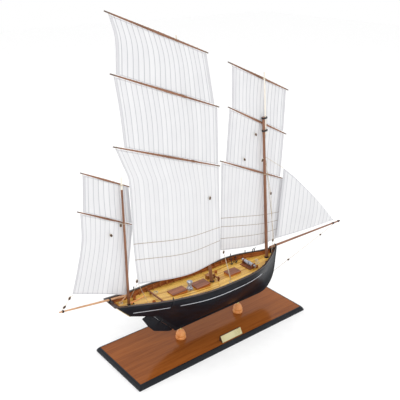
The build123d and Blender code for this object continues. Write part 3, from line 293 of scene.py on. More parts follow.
@dataclass(frozen=True)
class Wood:
    """Varnished wood with fibres and a slower figure along its grain."""

    name: str
    dark: Colour
    light: Colour
    grain: Axis = Axis.ALONG
    tilt: float = 0.0
    fineness: float = 900.0
    figure: float = 110.0
    roughness: float = 0.42
    coat: float = 0.1
    gloss: float = 0.3
    relief: float = 0.25

    def stretch(self, across: float, along: float) -> Size:
        """Features per metre on each axis, fewer along the grain."""
        return tuple(along if axis is self.grain else across for axis in Axis)

    def fibres(self, shader: Shader) -> tuple[Value, Value]:
        """Gives the fibres and the figure as two shares."""
        fine = shader.noise(shader.place(self.tilt, self.stretch(self.fineness, self.fineness / 30)), 3.0)
        slow = shader.noise(shader.place(self.tilt, self.stretch(self.figure, self.figure / 14)), 2.0, 0.8)
        return fine, slow

    def make(self) -> bpy.types.Material:
        """Makes the material."""
        shader = self.start()
        fine, slow = self.fibres(shader)
        bare = shader.ramp(fine * 0.5 + slow * 0.5, (0.36, self.dark), (0.62, self.light))
        colour = self.top_coat(shader, bare)
        return shader.finish(colour, self.roughness + (fine - 0.5) * 0.2, fine, self.relief)

    def start(self) -> Shader:
        """Starts the material with its even gloss."""
        return Shader(self.name, Coat_Weight=self.coat, Coat_Roughness=0.12, Specular_IOR_Level=self.gloss)

    def top_coat(self, shader: Shader, wood: bpy.types.NodeSocket) -> bpy.types.NodeSocket:
        """Gives the colour that shows over the bare wood, which is the wood's own."""
        return wood


@dataclass(frozen=True)
class TippedWood(Wood):
    """A yard's wood, tarred grey at both ends."""

    middle: float = 0.0
    half_length: float = 0.1
    tip: Colour = srgb(96, 80, 72)

    def top_coat(self, shader: Shader, wood: bpy.types.NodeSocket) -> bpy.types.NodeSocket:
        """Darkens the ends."""
        along, _, _ = shader.parts(shader.place())
        out = abs((along - self.middle) / self.half_length)
        return shader.mix(((out - 0.86) * 12.0).clipped() * 0.85, wood, self.tip)


@dataclass(frozen=True)
class PaintedHead(Wood):
    """A mast whose head is painted pale above a height."""

    above: float = 1.0
    paint: Colour = srgb(236, 230, 218)

    def top_coat(self, shader: Shader, wood: bpy.types.NodeSocket) -> bpy.types.NodeSocket:
        """Paints the head."""
        _, _, height = shader.parts(shader.place())
        return shader.mix(height > self.above, wood, self.paint)


@dataclass(frozen=True)
class Planking(Wood):
    """Planks laid side by side, with dark caulked seams, butts and nails."""

    across: Axis = Axis.ACROSS
    pitch: float = 4.2 * MM
    length: float = 95 * MM
    seam: Colour = srgb(70, 40, 18)
    seam_width: float = 0.35 * MM
    variety: float = 0.4

    def make(self) -> bpy.types.Material:
        """Makes the material."""
        shader = self.start()
        return shader.finish(*self.planks(shader), self.relief, 0.15 * MM)

    def planks(self, shader: Shader) -> tuple[bpy.types.NodeSocket, Value, Value]:
        """Gives the planks' colour, roughness and relief."""
        fine, slow = self.fibres(shader)
        places = shader.parts(shader.place())
        run = places[self.grain.value]
        rank = places[self.across.value] / self.pitch
        lot = shader.chance(rank.floor())
        stretch = run / self.length + lot * 7.3
        piece = shader.chance(stretch.floor() + rank.floor() * 31.7)
        side = rank.fraction()
        end = stretch.fraction()
        edge = side.least(1.0 - side) * self.pitch
        butt = end.least(1.0 - end) * self.length
        gap = edge.least(butt) < self.seam_width / 2
        tone = fine * 0.35 + slow * 0.3 + 0.175 + (piece - 0.5) * self.variety
        wood = shader.ramp(tone, (0.22, self.dark), (0.75, self.light))
        colour = shader.mix(gap * 0.75, wood, self.seam)
        return colour, self.roughness + (fine - 0.5) * 0.2, fine * 0.4 + (1.0 - gap) * 0.6


@dataclass(frozen=True)
class Paint:
    """Brushed paint or lacquer with faint brush marks and dust in it."""

    name: str
    colour: Colour
    worn: Colour
    roughness: float = 0.3
    coat: float = 0.05
    gloss: float = 0.2
    relief: float = 0.12

    def make(self) -> bpy.types.Material:
        """Makes the material."""
        shader = Shader(self.name, Coat_Weight=self.coat, Coat_Roughness=0.1, Specular_IOR_Level=self.gloss)
        brush = shader.noise(shader.place(0.0, (60, 700, 700)), 2.0)
        cloud = shader.noise(shader.place(0.0, (45, 45, 45)), 3.0)
        colour = shader.mix(((cloud - 0.45) * 2.2).clipped() * 0.6, self.colour, self.worn)
        return shader.finish(colour, self.roughness + (cloud - 0.5) * 0.22, brush, self.relief)


@dataclass(frozen=True)
class HullSides:
    """Black topsides, with varnished planks on the faces that look inboard."""

    name: str
    outside: Paint
    inside: Planking

    def make(self) -> bpy.types.Material:
        """Makes the material."""
        shader = Shader(self.name, Coat_Weight=0.02, Coat_Roughness=0.2, Specular_IOR_Level=0.1)
        _, port, height = shader.parts(shader.place())
        _, facing, _ = shader.parts(shader.coordinates.outputs["Normal"])
        inboard = (port * facing < 0.0) * (height > 95 * MM)
        wood, gloss, grain = self.inside.planks(shader)
        strake = (height / (6.5 * MM)).fraction()
        lap = strake.least(1.0 - strake) < 0.035
        cloud = shader.noise(shader.place(0.0, (30, 30, 60)), 3.0)
        paint = shader.mix(((cloud - 0.4) * 2.0).clipped() * 0.7, self.outside.colour, self.outside.worn)
        colour = shader.mix(inboard, paint, wood)
        roughness = inboard * gloss + (1.0 - inboard) * (self.outside.roughness + (cloud - 0.5) * 0.2)
        relief = inboard * grain + (1.0 - inboard) * (1.0 - lap * 0.35)
        return shader.finish(colour, roughness, relief, 0.2, 0.12 * MM)


@dataclass(frozen=True)
class Metal:
    """Cast or rolled metal with cloudy tarnish."""

    name: str
    bright: Colour
    dull: Colour
    metallic: float = 0.9
    roughness: float = 0.3
    relief: float = 0.2
    coarse: float = 260.0

    def make(self) -> bpy.types.Material:
        """Makes the material."""
        shader = Shader(self.name, Metallic=self.metallic)
        cast = shader.noise(shader.place(0.0, (self.coarse * 8,) * 3), 2.0)
        cloud = shader.noise(shader.place(0.0, (self.coarse,) * 3), 3.0)
        colour = shader.ramp(cloud, (0.38, self.dull), (0.6, self.bright))
        return shader.finish(colour, self.roughness + (cloud - 0.5) * 0.3, cast, self.relief, 0.08 * MM)


@dataclass(frozen=True)
class Rope:
    """Laid rope, with strands that wind round it, and painted shade darkening the grooves between strands."""

    name: str
    colour: Colour
    groove_shade: Colour
    lay: float = 900.0

    def make(self) -> bpy.types.Material:
        """Makes the material."""
        shader = Shader(self.name)
        x, y, z = shader.parts(shader.place())
        wound = ((x + y * 0.8 + z) * self.lay).fraction()
        strand = wound.least(1.0 - wound) * 2.0
        fuzz = shader.noise(shader.place(0.0, (2500,) * 3), 2.0)
        # the grooves between strands take the darker colour as painted shade, with random fuzz over it
        colour = shader.mix((strand * 0.8 + fuzz * 0.3).clipped(), self.groove_shade, self.colour)
        return shader.finish(colour, 0.85, strand, 0.5, 0.15 * MM)


@dataclass(frozen=True)
class Sailcloth:
    """Fine cotton sewn from narrow cloths, with a hem all round, for one sail."""

    name: str
    cloths: int
    width: float
    height: float
    tint: Colour = srgb(241, 241, 242)
    shadow: Colour = srgb(229, 229, 231)
    seam: Colour = srgb(136, 136, 146)
    seam_width: float = 1.1 * MM
    hem_width: float = 3.2 * MM
    through: float = 0.22

    def make(self) -> bpy.types.Material:
        """Makes the material, which reads the sail's own map: across from the luff and down from the head."""
        shader = Shader(self.name, Sheen_Weight=0.15)
        across, down, _ = shader.parts(shader.coordinates.outputs["UV"])
        wander = (shader.noise(shader.place(0.0, (14, 14, 9)), 1.0) - 0.5) * 0.25
        cloth = across * self.cloths + wander * (across.least(1.0 - across) * 4.0).clipped()
        side = cloth.fraction()
        seam_share = self.seam_width * self.cloths / self.width
        seam = 1.0 - (side.least(1.0 - side) / (seam_share / 2)).clipped()
        from_side = across.least(1.0 - across) * self.width
        from_end = down.least(1.0 - down) * self.height
        margin = from_side.least(from_end)
        hem = margin < self.hem_width
        stitch = abs(margin - self.hem_width) < 0.25 * MM
        weave_x, _, weave_z = shader.parts(shader.place(0.0, (1600, 1600, 1600)))
        weave = shader.math("SINE", weave_x * math.tau) * shader.math("SINE", weave_z * math.tau) * 0.5 + 0.5
        mottle = shader.noise(shader.place(0.0, (26, 26, 26)), 4.0)
        lot = shader.chance(cloth.floor())
        plain = shader.mix((mottle * 0.7 + lot * 0.45 - 0.2).clipped(), self.tint, self.shadow)
        lined = shader.mix(seam * 0.8, plain, self.seam)
        hemmed = shader.mix(hem * 0.25 + stitch * 0.3, lined, self.seam)
        relief = weave * 0.15 + seam * 0.5 + hem * 0.4
        self.lit_through(shader)
        return shader.finish(hemmed, 0.85 + (weave - 0.5) * 0.06, relief, 0.3, 0.12 * MM)

    def lit_through(self, shader: Shader) -> None:
        """Lets some of the light that falls on the back of the cloth shine through it."""
        glow = shader.node("ShaderNodeBsdfTranslucent", inputs={"Color": self.tint})
        layers = {0: self.through, 1: shader.surface.outputs["BSDF"], 2: glow.outputs["BSDF"]}
        both = shader.node("ShaderNodeMixShader", inputs=layers)
        shader.feed(shader.output.inputs["Surface"], both.outputs["Shader"])


# ---------------------------------------------------------------- finishes of this model
BLACK = Paint("satin_black", srgb(17, 20, 26), srgb(33, 39, 49), 0.4)
WHITE_LINE = Paint("white_line", srgb(222, 226, 232), srgb(190, 196, 205), 0.4, 0.1)
POLE_WHITE = Paint("pole_white", srgb(238, 232, 220), srgb(214, 203, 186), 0.45, 0.1)
CREAM_EDGE = Wood("cream_moulding", srgb(190, 160, 100), srgb(232, 214, 160))
BASE_WOOD = Wood("base_lacquer", srgb(128, 68, 26), srgb(152, 86, 36), figure=60.0, fineness=600.0,
                 roughness=0.16, coat=0.04, gloss=0.16, relief=0.03)
PEDESTAL_WOOD = Wood("pedestal_varnish", srgb(216, 132, 66), srgb(238, 164, 96), Axis.UPRIGHT, figure=60.0,
                     roughness=0.28, coat=0.4, relief=0.05)
SPAR_RED, SPAR_DARK = srgb(152, 106, 80), srgb(108, 70, 50)
TAN, TAN_DARK = srgb(214, 168, 128), srgb(172, 122, 82)
RAIL = Wood("rail_varnish", srgb(84, 42, 24), srgb(142, 82, 50))
TIMBER = Wood("timber_varnish", srgb(120, 68, 30), srgb(180, 116, 58), Axis.UPRIGHT)
HATCH = Planking("hatch_boards", srgb(106, 58, 36), srgb(158, 96, 66), pitch=4.5 * MM, length=200 * MM)
COAMING = Wood("coaming_varnish", srgb(164, 88, 38), srgb(210, 132, 66))
DECK = Planking("deck_planks", srgb(176, 122, 36), srgb(232, 188, 92), roughness=0.4, coat=0.3, variety=0.5)
INNER = Wood("plywood", srgb(170, 140, 100), srgb(206, 178, 136))
WALNUT = Wood("walnut", srgb(46, 26, 18), srgb(92, 58, 40), figure=300.0)
BULWARK = Planking(
    "bulwark_planks", srgb(122, 62, 30), srgb(180, 108, 56), across=Axis.UPRIGHT, pitch=3.4 * MM
)
PLATE = Metal("plate_brass", srgb(208, 200, 158), srgb(192, 182, 136), 0.6, 0.3, 0.05, 40.0)
BRASS = Metal("brass", srgb(214, 200, 140), srgb(176, 156, 96), 0.85, 0.25)
CAST = Metal("grey_casting", srgb(206, 210, 220), srgb(136, 140, 152), 0.55, 0.42)
IRON = Metal("black_iron", srgb(60, 60, 64), srgb(28, 28, 31), 0.7, 0.45)
# each rope's second colour is the painted shade in the grooves between its strands
ROPE_WHITE = Rope("white_rope", srgb(226, 226, 228), srgb(196, 196, 200))
ROPE_PALE = Rope("pale_rope", srgb(226, 214, 190), srgb(150, 134, 108))
ROPE_TAN = Rope("tan_rope", srgb(196, 170, 130), srgb(120, 98, 70))
REEF = Rope("reef_line", srgb(186, 172, 160), srgb(146, 130, 120))


# ---------------------------------------------------------------- workbench
def deselect() -> None:
    """Leaves nothing selected, since the frame's nodes come in selected."""
    if bpy.context.object and bpy.context.object.mode != "OBJECT":
        bpy.ops.object.mode_set(mode="OBJECT")
    bpy.ops.object.select_all(action="DESELECT")


def pick(*pieces: bpy.types.Object) -> bpy.types.Object:
    """Selects these pieces only, and makes the first one active."""
    deselect()
    for piece in pieces:
        piece.select_set(True)
    bpy.context.view_layer.objects.active = pieces[0]
    return pieces[0]


def settle(piece: bpy.types.Object) -> bpy.types.Object:
    """Puts a piece's place, turn and size into its mesh."""
    pick(piece)
    bpy.ops.object.transform_apply(location=True, rotation=True, scale=True)
    return piece


def carve(piece: bpy.types.Object, kind: str, **settings: object) -> bpy.types.Object:
    """Adds a modifier of this kind to a piece and applies it."""
    pick(piece)
    modifier = piece.modifiers.new(kind.lower(), kind)
    for key, value in settings.items():
        setattr(modifier, key, value)
    bpy.ops.object.modifier_apply(modifier=modifier.name)
    return piece


def edit(piece: bpy.types.Object, chosen: Callable[[object], bool], faces: bool, *steps: Step) -> None:
    """Works on part of a piece in edit mode.

    Args:
        piece: the piece.
        chosen: says of each face or vertex whether it is worked on.
        faces: picks by face, and otherwise by vertex.
        steps: the operators, in order.
    """
    pick(piece)
    bpy.ops.object.mode_set(mode="EDIT")
    bpy.ops.mesh.select_mode(type="FACE" if faces else "VERT")
    bpy.ops.mesh.select_all(action="DESELECT")
    bpy.ops.object.mode_set(mode="OBJECT")
    for part in piece.data.polygons if faces else piece.data.vertices:
        part.select = chosen(part)
    bpy.ops.object.mode_set(mode="EDIT")
    for step in steps:
        step()
    bpy.ops.object.mode_set(mode="OBJECT")


def block(size: Size, at: Size = (0, 0, 0)) -> bpy.types.Object:
    """Cuts a square block."""
    bpy.ops.mesh.primitive_cube_add(size=1, location=at, scale=size)
    return settle(bpy.context.object)


def ring(
    radius: float, wire: float, segments: int, at: Size = (0, 0, 0), turn: Size = (0, 0, 0)
) -> bpy.types.Object:
    """Bends a ring from round wire of this radius."""
    bpy.ops.mesh.primitive_torus_add(
        major_radius=radius, minor_radius=wire, major_segments=segments, minor_segments=6, location=at,
        rotation=turn,
    )
    return settle(bpy.context.object)


def pull(*by: float) -> Step:
    """Gives the step that extrudes what is picked by this much along X, Y and Z."""
    return lambda: bpy.ops.mesh.extrude_region_move(TRANSFORM_OT_translate={"value": by})


def inset(thickness: float, apart: bool = False) -> Step:
    """Gives the step that insets what is picked, as one region or face by face."""
    return lambda: bpy.ops.mesh.inset(thickness=thickness, use_individual=apart)


def widen(*by: float) -> Step:
    """Gives the step that scales what is picked about its middle."""
    return lambda: bpy.ops.transform.resize(value=by)


def looks_up(face: bpy.types.MeshPolygon) -> bool:
    """Picks the faces on top."""
    return face.normal.z > 0.9


def border(steps: int) -> list[Profile]:
    """Gives places round a sail's edge, across and down, with this many steps to a side."""
    shares = [step / steps for step in range(steps)]
    return [
        *((share, 0) for share in shares),
        *((1, share) for share in shares),
        *((1 - share, 1) for share in shares),
        *((0, 1 - share) for share in shares),
    ]


def outward(piece: bpy.types.Object) -> bpy.types.Object:
    """Merges a closed piece's doubles and turns its faces outwards."""
    edit(
        piece,
        lambda vertex: True,
        False,
        lambda: bpy.ops.mesh.remove_doubles(threshold=0.001 * MM),
        lambda: bpy.ops.mesh.normals_make_consistent(inside=False),
    )
    return piece


def copies(pattern: bpy.types.Object, places: Iterable[Matrix], name: str) -> bpy.types.Object:
    """Sets out copies of a pattern, each with its own mesh, and joins them.

    Args:
        pattern: the piece that repeats, modelled at the origin, which is used up.
        places: each copy's place and turn.
        name: the joined piece's name.

    Returns:
        The joined piece, settled at the origin.
    """
    made = []
    for place in places:
        one = pattern.copy()
        one.data = pattern.data.copy()
        one.data.transform(place)
        bpy.context.scene.collection.objects.link(one)
        made.append(one)
    bpy.data.objects.remove(pattern)
    pick(*made)
    bpy.ops.object.join()
    made[0].name = name
    made[0].data.name = name
    return made[0]


def rope_run(name: str, points: Sequence[Vector], radius: float, closed: bool = False) -> bpy.types.Object:
    """Makes a smooth rope through points, as a mesh."""
    data = bpy.data.curves.new(name, "CURVE")
    data.dimensions = "3D"
    data.bevel_depth = radius
    data.bevel_resolution = 2
    data.use_fill_caps = True
    line = data.splines.new("POLY")
    line.points.add(len(points) - 1)
    for knot, point in zip(line.points, points):
        knot.co = (*point, 1.0)
    line.use_cyclic_u = closed
    piece = bpy.data.objects.new(name, data)
    bpy.context.scene.collection.objects.link(piece)
    pick(piece)
    bpy.ops.object.convert(target="MESH")
    return piece


def dress(piece: bpy.types.Object, material: bpy.types.Material,
          body: str | None = "root", angle: float = 35.0) -> bpy.types.Object:
    """Gives a new piece its finish in a material slot, and its body."""
    piece.data.materials.clear()
    piece.data.materials.append(material)
    pick(piece)
    bpy.ops.object.shade_smooth_by_angle(angle=math.radians(angle))
    if body:
        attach(piece, body)
    LOG.info("%s: %d faces", piece.name, len(piece.data.polygons))
    return piece


def paint_node(node: str, material: bpy.types.Material) -> None:
    """Gives a CAD node its finish."""
    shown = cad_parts[node]
    if not shown.material_slots:
        shown.data.materials.append(material)
    for place in shown.material_slots:
        place.material = material
    LOG.info("%s: %s", node, material.name)


def islands(node: str) -> list[list[Vector]]:
    """Splits a CAD node's points into its separate solids, each solid's points together."""
    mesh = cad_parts[node].data
    parent = list(range(len(mesh.vertices)))
    seen: dict[tuple, int] = {}

    def root(index: int) -> int:
        while parent[index] != index:
            parent[index] = parent[parent[index]]
            index = parent[index]
        return index

    for vertex in mesh.vertices:
        spot = tuple(round(value, 6) for value in vertex.co)
        parent[root(vertex.index)] = root(seen.setdefault(spot, vertex.index))
    for edge in mesh.edges:
        first, second = edge.vertices
        parent[root(first)] = root(second)
    found: dict[int, list[Vector]] = {}
    for vertex in mesh.vertices:
        found.setdefault(root(vertex.index), []).append(vertex.co.copy())
    return list(found.values())


# ---------------------------------------------------------------- sails
@dataclass(frozen=True)
class Yard:
    """A yard's centre line, read from its node's box: its forward end is its low one."""

    node: str
    thickness: float = 2.5 * MM
    tip_share: float = 0.5
    clearance: float = 0.3 * MM

    def ends(self) -> tuple[Vector, Vector]:
        """Gives the forward and after ends."""
        low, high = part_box(self.node)
        tip = self.thickness * self.tip_share
        middle = (low.y + high.y) / 2
        return Vector((high.x, middle, low.z + tip)), Vector((low.x, middle, high.z - tip))

    def at(self, x: float) -> Vector:
        """Gives the point of the centre line at x."""
        fore, aft = self.ends()
        return fore.lerp(aft, (x - fore.x) / (aft.x - fore.x))

    def radius_at(self, x: float) -> float:
        """Gives the yard's radius at x."""
        fore, aft = self.ends()
        from_middle = abs(2 * (x - fore.x) / (aft.x - fore.x) - 1)
        return self.thickness * (1 - from_middle * (1 - self.tip_share))

    def edge(self, x: float, above: bool) -> Profile:
        """Gives where a sail's edge lies at x, just above or below the yard."""
        rise = self.thickness * 1.12 + self.clearance
        return (x, self.at(x).z + (rise if above else -rise))

    def slope(self) -> float:
        """Gives how steeply the yard rises aft, as an angle."""
        fore, aft = self.ends()
        return math.atan2(aft.z - fore.z, fore.x - aft.x)


def smooth(points: Sequence[Profile], share: float) -> Vector:
    """Gives a point part of the way along a smooth curve through points.

    Args:
        points: the points that the curve passes.
        share: how far along, from 0 to 1.

    Returns:
        The point in side view.
    """
    knots = [Vector(point) for point in points]
    lengths = [(b - a).length for a, b in zip(knots, knots[1:])]
    left = share * sum(lengths)
    step = 0
    while step < len(lengths) - 1 and left > lengths[step]:
        left -= lengths[step]
        step += 1
    part = left / lengths[step]
    start, end = knots[step], knots[step + 1]
    chord = end - start
    leaving = knots[step - 1] if step else start - chord
    arriving = knots[step + 2] if step + 2 < len(knots) else end + chord
    tangent_in = (end - leaving) * (lengths[step] / (chord.length + (start - leaving).length))
    tangent_out = (arriving - start) * (lengths[step] / (chord.length + (arriving - end).length))
    square, cube = part * part, part**3
    return (
        start * (2 * cube - 3 * square + 1)
        + tangent_in * (cube - 2 * square + part)
        + end * (3 * square - 2 * cube)
        + tangent_out * (cube - square)
    )


@dataclass(frozen=True)
class Reef:
    """A reef line: how far down the sail it lies at the luff and at the leech."""

    at_luff: float
    at_leech: float


@dataclass
class Sail:
    """One sail: its four edges in side view, its cloths, and how it bellies."""

    node: str
    side: float
    head: tuple[Profile, ...]
    leech: tuple[Profile, ...]
    foot: tuple[Profile, ...]
    luff: tuple[Profile, ...]
    cloths: int
    belly: float
    foot_free: bool = False
    reefs: tuple[Reef, ...] = ()
    yard: Yard | None = None
    thickness: float = 0.35 * MM
    pucker: float = 0.12 * MM
    bolt_radius: float = 0.34 * MM
    least_step: float = 0.3 * MM
    band_width: float = 1.4 * MM
    eyelet_radius: float = 0.75 * MM
    eyelet_wire: float = 0.28 * MM
    steps_per_cloth: int = 4
    steps_down: int = 44
    parts: list[bpy.types.Object] = field(default_factory=list)

    def level(self) -> float:
        """Gives the flat sail's distance to port, from its node."""
        low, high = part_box(self.node)
        return (low.y + high.y) / 2

    def flat_point(self, across: float, down: float) -> Vector:
        """Gives a point of the flat cut, blended between its four edges."""
        head, foot = smooth(self.head, across), smooth(self.foot, across)
        luff, leech = smooth(self.luff, down), smooth(self.leech, down)
        fore_head, aft_head = smooth(self.head, 0), smooth(self.head, 1)
        fore_foot, aft_foot = smooth(self.foot, 0), smooth(self.foot, 1)
        corners = (fore_head * (1 - across) + aft_head * across) * (1 - down)
        corners += (fore_foot * (1 - across) + aft_foot * across) * down
        return head * (1 - down) + foot * down + luff * (1 - across) + leech * across - corners

    def swell(self, across: float, down: float) -> float:
        """Gives how far the cloth stands out to the side there."""
        reach = 0.72 if self.foot_free else 1.0
        belly = math.sin(math.pi * across) ** 1.2 * math.sin(math.pi * down * reach) ** 0.9
        pucker = abs(math.sin(math.pi * across * self.cloths)) * math.sin(math.pi * down) ** 0.5
        crease = math.sin(9 * math.pi * (across + 0.4 * down)) * (1 - across) * across * (1 - down) * down
        return self.side * (self.belly * belly + self.pucker * pucker + self.belly * 0.6 * crease)

    def point(self, across: float, down: float, proud: float = 0.0) -> Vector:
        """Gives a point of the sail as it hangs, moved out to the side by proud."""
        x, z = self.flat_point(across, down)
        inside = min(max(across, 0.0), 1.0), min(max(down, 0.0), 1.0)
        return Vector((x, self.level() + self.swell(*inside) + proud, z))

    def grid(self, name: str, rows: Sequence[Sequence[tuple[float, float]]]) -> bpy.types.Object:
        """Makes a sheet of cloth on rows of places across and down the sail, with its map."""
        wide = len(rows[0])
        mesh = bpy.data.meshes.new(name)
        spots = [spot for row in rows for spot in row]
        corners = [
            (r * wide + c, r * wide + c + 1, (r + 1) * wide + c + 1, (r + 1) * wide + c)
            for r in range(len(rows) - 1)
            for c in range(wide - 1)
        ]
        mesh.from_pydata([self.point(*spot) for spot in spots], [], corners)
        chart = mesh.uv_layers.new(name="cloth")
        for loop in mesh.loops:
            chart.data[loop.index].uv = spots[loop.vertex_index]
        piece = bpy.data.objects.new(name, mesh)
        bpy.context.scene.collection.objects.link(piece)
        return piece

    def measure(self) -> tuple[float, float, float]:
        """Gives the flat cut's width, length and area."""
        outline = [self.flat_point(*spot) for spot in border(60)]
        doubled = sum(a.x * b.y - b.x * a.y for a, b in zip(outline, outline[1:] + outline[:1]))
        width = max(p.x for p in outline) - min(p.x for p in outline)
        length = max(p.y for p in outline) - min(p.y for p in outline)
        return width, length, abs(doubled) / 2

    def build(self) -> None:
        """Cuts, sews and bends on the sail."""
        across = self.cloths * self.steps_per_cloth
        rows = [
            [(c / across, r / self.steps_down) for c in range(across + 1)] for r in range(self.steps_down + 1)
        ]
        width, length, area = self.measure()
        sail = self.grid(f"{self.node}_cloth", rows)
        carve(sail, "WELD", merge_threshold=0.01 * MM)
        carve(sail, "SOLIDIFY", thickness=self.thickness, offset=0.0)
        cloth = Sailcloth(f"{self.node}_cotton", self.cloths, area / length, length)
        dress(sail, cloth.make())
        self.parts = [self.bolt_rope(), *self.reef_lines()]
        if self.yard:
            self.parts.append(self.robands(self.yard))
        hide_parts(self.node)

    def bolt_rope(self) -> bpy.types.Object:
        """Sews a rope round the sail's edge."""
        edge = [self.point(*spot) for spot in border(70)]
        kept = [edge[0]]
        for spot in edge[1:]:
            if (spot - kept[-1]).length > self.least_step:
                kept.append(spot)
        rope = rope_run(f"{self.node}_bolt_rope", kept, self.bolt_radius, closed=True)
        return dress(outward(rope), finishes["white_rope"])

    def reef_lines(self) -> list[bpy.types.Object]:
        """Sews on the reef bands, each with an eyelet at every seam."""
        made = []
        half = self.band_width / 2 / self.measure()[1]
        for number, reef in enumerate(self.reefs, 1):
            steps = self.cloths * self.steps_per_cloth
            rows = [
                [
                    (s / steps, reef.at_luff + (reef.at_leech - reef.at_luff) * s / steps + edge)
                    for s in range(steps + 1)
                ]
                for edge in (-half, half)
            ]
            band = self.grid(f"{self.node}_reef_band_{number}", rows)
            carve(band, "SOLIDIFY", thickness=self.thickness * 2.4, offset=0.0)
            made.append(dress(band, finishes["reef_line"]))
            eyelet = ring(self.eyelet_radius, self.eyelet_wire, 10, turn=(math.pi / 2, 0, 0))
            places = []
            for seam in range(1, self.cloths):
                share = seam / self.cloths
                down = reef.at_luff + (reef.at_leech - reef.at_luff) * share
                places.append(Matrix.Translation(self.point(share, down, self.side * 0.3 * MM)))
            eyelets = copies(eyelet, places, f"{self.node}_reef_eyelets_{number}")
            made.append(dress(eyelets, finishes["pale_rope"]))
        return made

    def robands(self, yard: Yard) -> bpy.types.Object:
        """Ties the head to its yard with a lashing at every seam."""
        tie = ring(1.0, 0.07, 14, turn=(0, math.pi / 2, 0))
        places = []
        for seam in range(self.cloths + 1):
            head = smooth(self.head, min(max(seam / self.cloths, 0.006), 0.994))
            top = yard.at(head.x).z + yard.radius_at(head.x) + self.thickness
            bottom = head.y - self.thickness
            reach = Vector((1, 1, 1)) * (top - bottom) / 2
            middle = yard.at(head.x)
            middle.z = (top + bottom) / 2
            lean = Matrix.Rotation(yard.slope(), 4, "Y")
            places.append(Matrix.Translation(middle) @ lean @ Matrix.Diagonal((*reach, 1)))
        ties = copies(tie, places, f"{self.node}_robands")
        return dress(ties, finishes["tan_rope"])


def sail_plan() -> list[Sail]:
    """Gives the nine sails, with the edges between yards taken from the yards."""
    yard = {
        name: Yard(name, 2.1 * MM if name.startswith("mizzen") else 2.5 * MM)
        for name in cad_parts
        if name.endswith("_yard")
    }

    def curve(*points: Profile) -> tuple[Profile, ...]:
        return tuple((x * MM, z * MM) for x, z in points)

    def under(name: str, *places: float) -> tuple[Profile, ...]:
        return tuple(yard[name].edge(x * MM, False) for x in places)

    def over(name: str, *places: float) -> tuple[Profile, ...]:
        return tuple(yard[name].edge(x * MM, True) for x in places)

    return [
        Sail(
            "main_lugsail", -1.0,
            under("main_lug_yard", 27, -229),
            under("main_lug_yard", -229) + curve((-215, 470), (-203, 436), (-199, 296), (-192, 200)),
            curve((36, 185), (-60, 179), (-192, 200)),
            under("main_lug_yard", 27) + curve((36, 185)),
            21, 5 * MM, True, (Reef(0.64, 0.69), Reef(0.79, 0.81)), yard["main_lug_yard"],
        ),
        Sail(
            "main_topsail", -1.0,
            under("main_topsail_yard", 21, -224),
            under("main_topsail_yard", -224) + curve((-215.5, 578)) + over("main_lug_yard", -209),
            over("main_lug_yard", 26, -209),
            under("main_topsail_yard", 21) + over("main_lug_yard", 26),
            21, 4 * MM, yard=yard["main_topsail_yard"],
        ),
        Sail(
            "main_topgallant", -1.0,
            under("main_topgallant_yard", -9, -228),
            under("main_topgallant_yard", -228) + curve((-217.5, 708)) + over("main_topsail_yard", -219),
            over("main_topsail_yard", 13, -219),
            under("main_topgallant_yard", -9) + over("main_topsail_yard", 13),
            19, 3 * MM, yard=yard["main_topgallant_yard"],
        ),
        Sail(
            "fore_lugsail", 1.0,
            under("fore_lug_yard", 253, 50),
            under("fore_lug_yard", 50) + curve((50, 196)),
            curve((237, 171), (188, 168.5), (130, 177), (50, 196)),
            under("fore_lug_yard", 253) + curve((242.5, 234), (237, 171)),
            18, 4 * MM, True, (Reef(0.54, 0.62), Reef(0.68, 0.72), Reef(0.83, 0.86)), yard["fore_lug_yard"],
        ),
        Sail(
            "fore_topsail", 1.0,
            under("fore_topsail_yard", 245, 71),
            under("fore_topsail_yard", 71) + over("fore_lug_yard", 63),
            over("fore_lug_yard", 240, 63),
            under("fore_topsail_yard", 245) + over("fore_lug_yard", 240),
            15, 3 * MM, yard=yard["fore_topsail_yard"],
        ),
        Sail(
            "fore_topgallant", 1.0,
            under("fore_topgallant_yard", 244, 76),
            under("fore_topgallant_yard", 76) + over("fore_topsail_yard", 78),
            over("fore_topsail_yard", 242, 78),
            under("fore_topgallant_yard", 244) + over("fore_topsail_yard", 242),
            15, 3 * MM, yard=yard["fore_topgallant_yard"],
        ),
        Sail(
            "mizzen_lugsail", 1.0,
            under("mizzen_lug_yard", -190, -304),
            under("mizzen_lug_yard", -304) + curve((-306.5, 328), (-321, 268), (-335, 222)),
            curve((-212, 174), (-335, 222)),
            under("mizzen_lug_yard", -190) + curve((-212, 174)),
            11, 3 * MM, True, yard=yard["mizzen_lug_yard"],
        ),
        Sail(
            "mizzen_topsail", 1.0,
            under("mizzen_topsail_yard", -195, -293),
            under("mizzen_topsail_yard", -293) + over("mizzen_lug_yard", -298),
            over("mizzen_lug_yard", -191, -298),
            under("mizzen_topsail_yard", -195) + over("mizzen_lug_yard", -191),
            9, 2 * MM, yard=yard["mizzen_topsail_yard"],
        ),
        Sail(
            "jib", -1.0,
            curve((452, 165), (385, 235), (296, 318), (243, 361)),
            curve((243, 361), (236, 266), (230, 176.5)),
            curve((452, 165), (330, 170), (230, 176.5)),
            curve((452, 165), (451.7, 165.02)),
            14, 3 * MM,
        ),
    ]


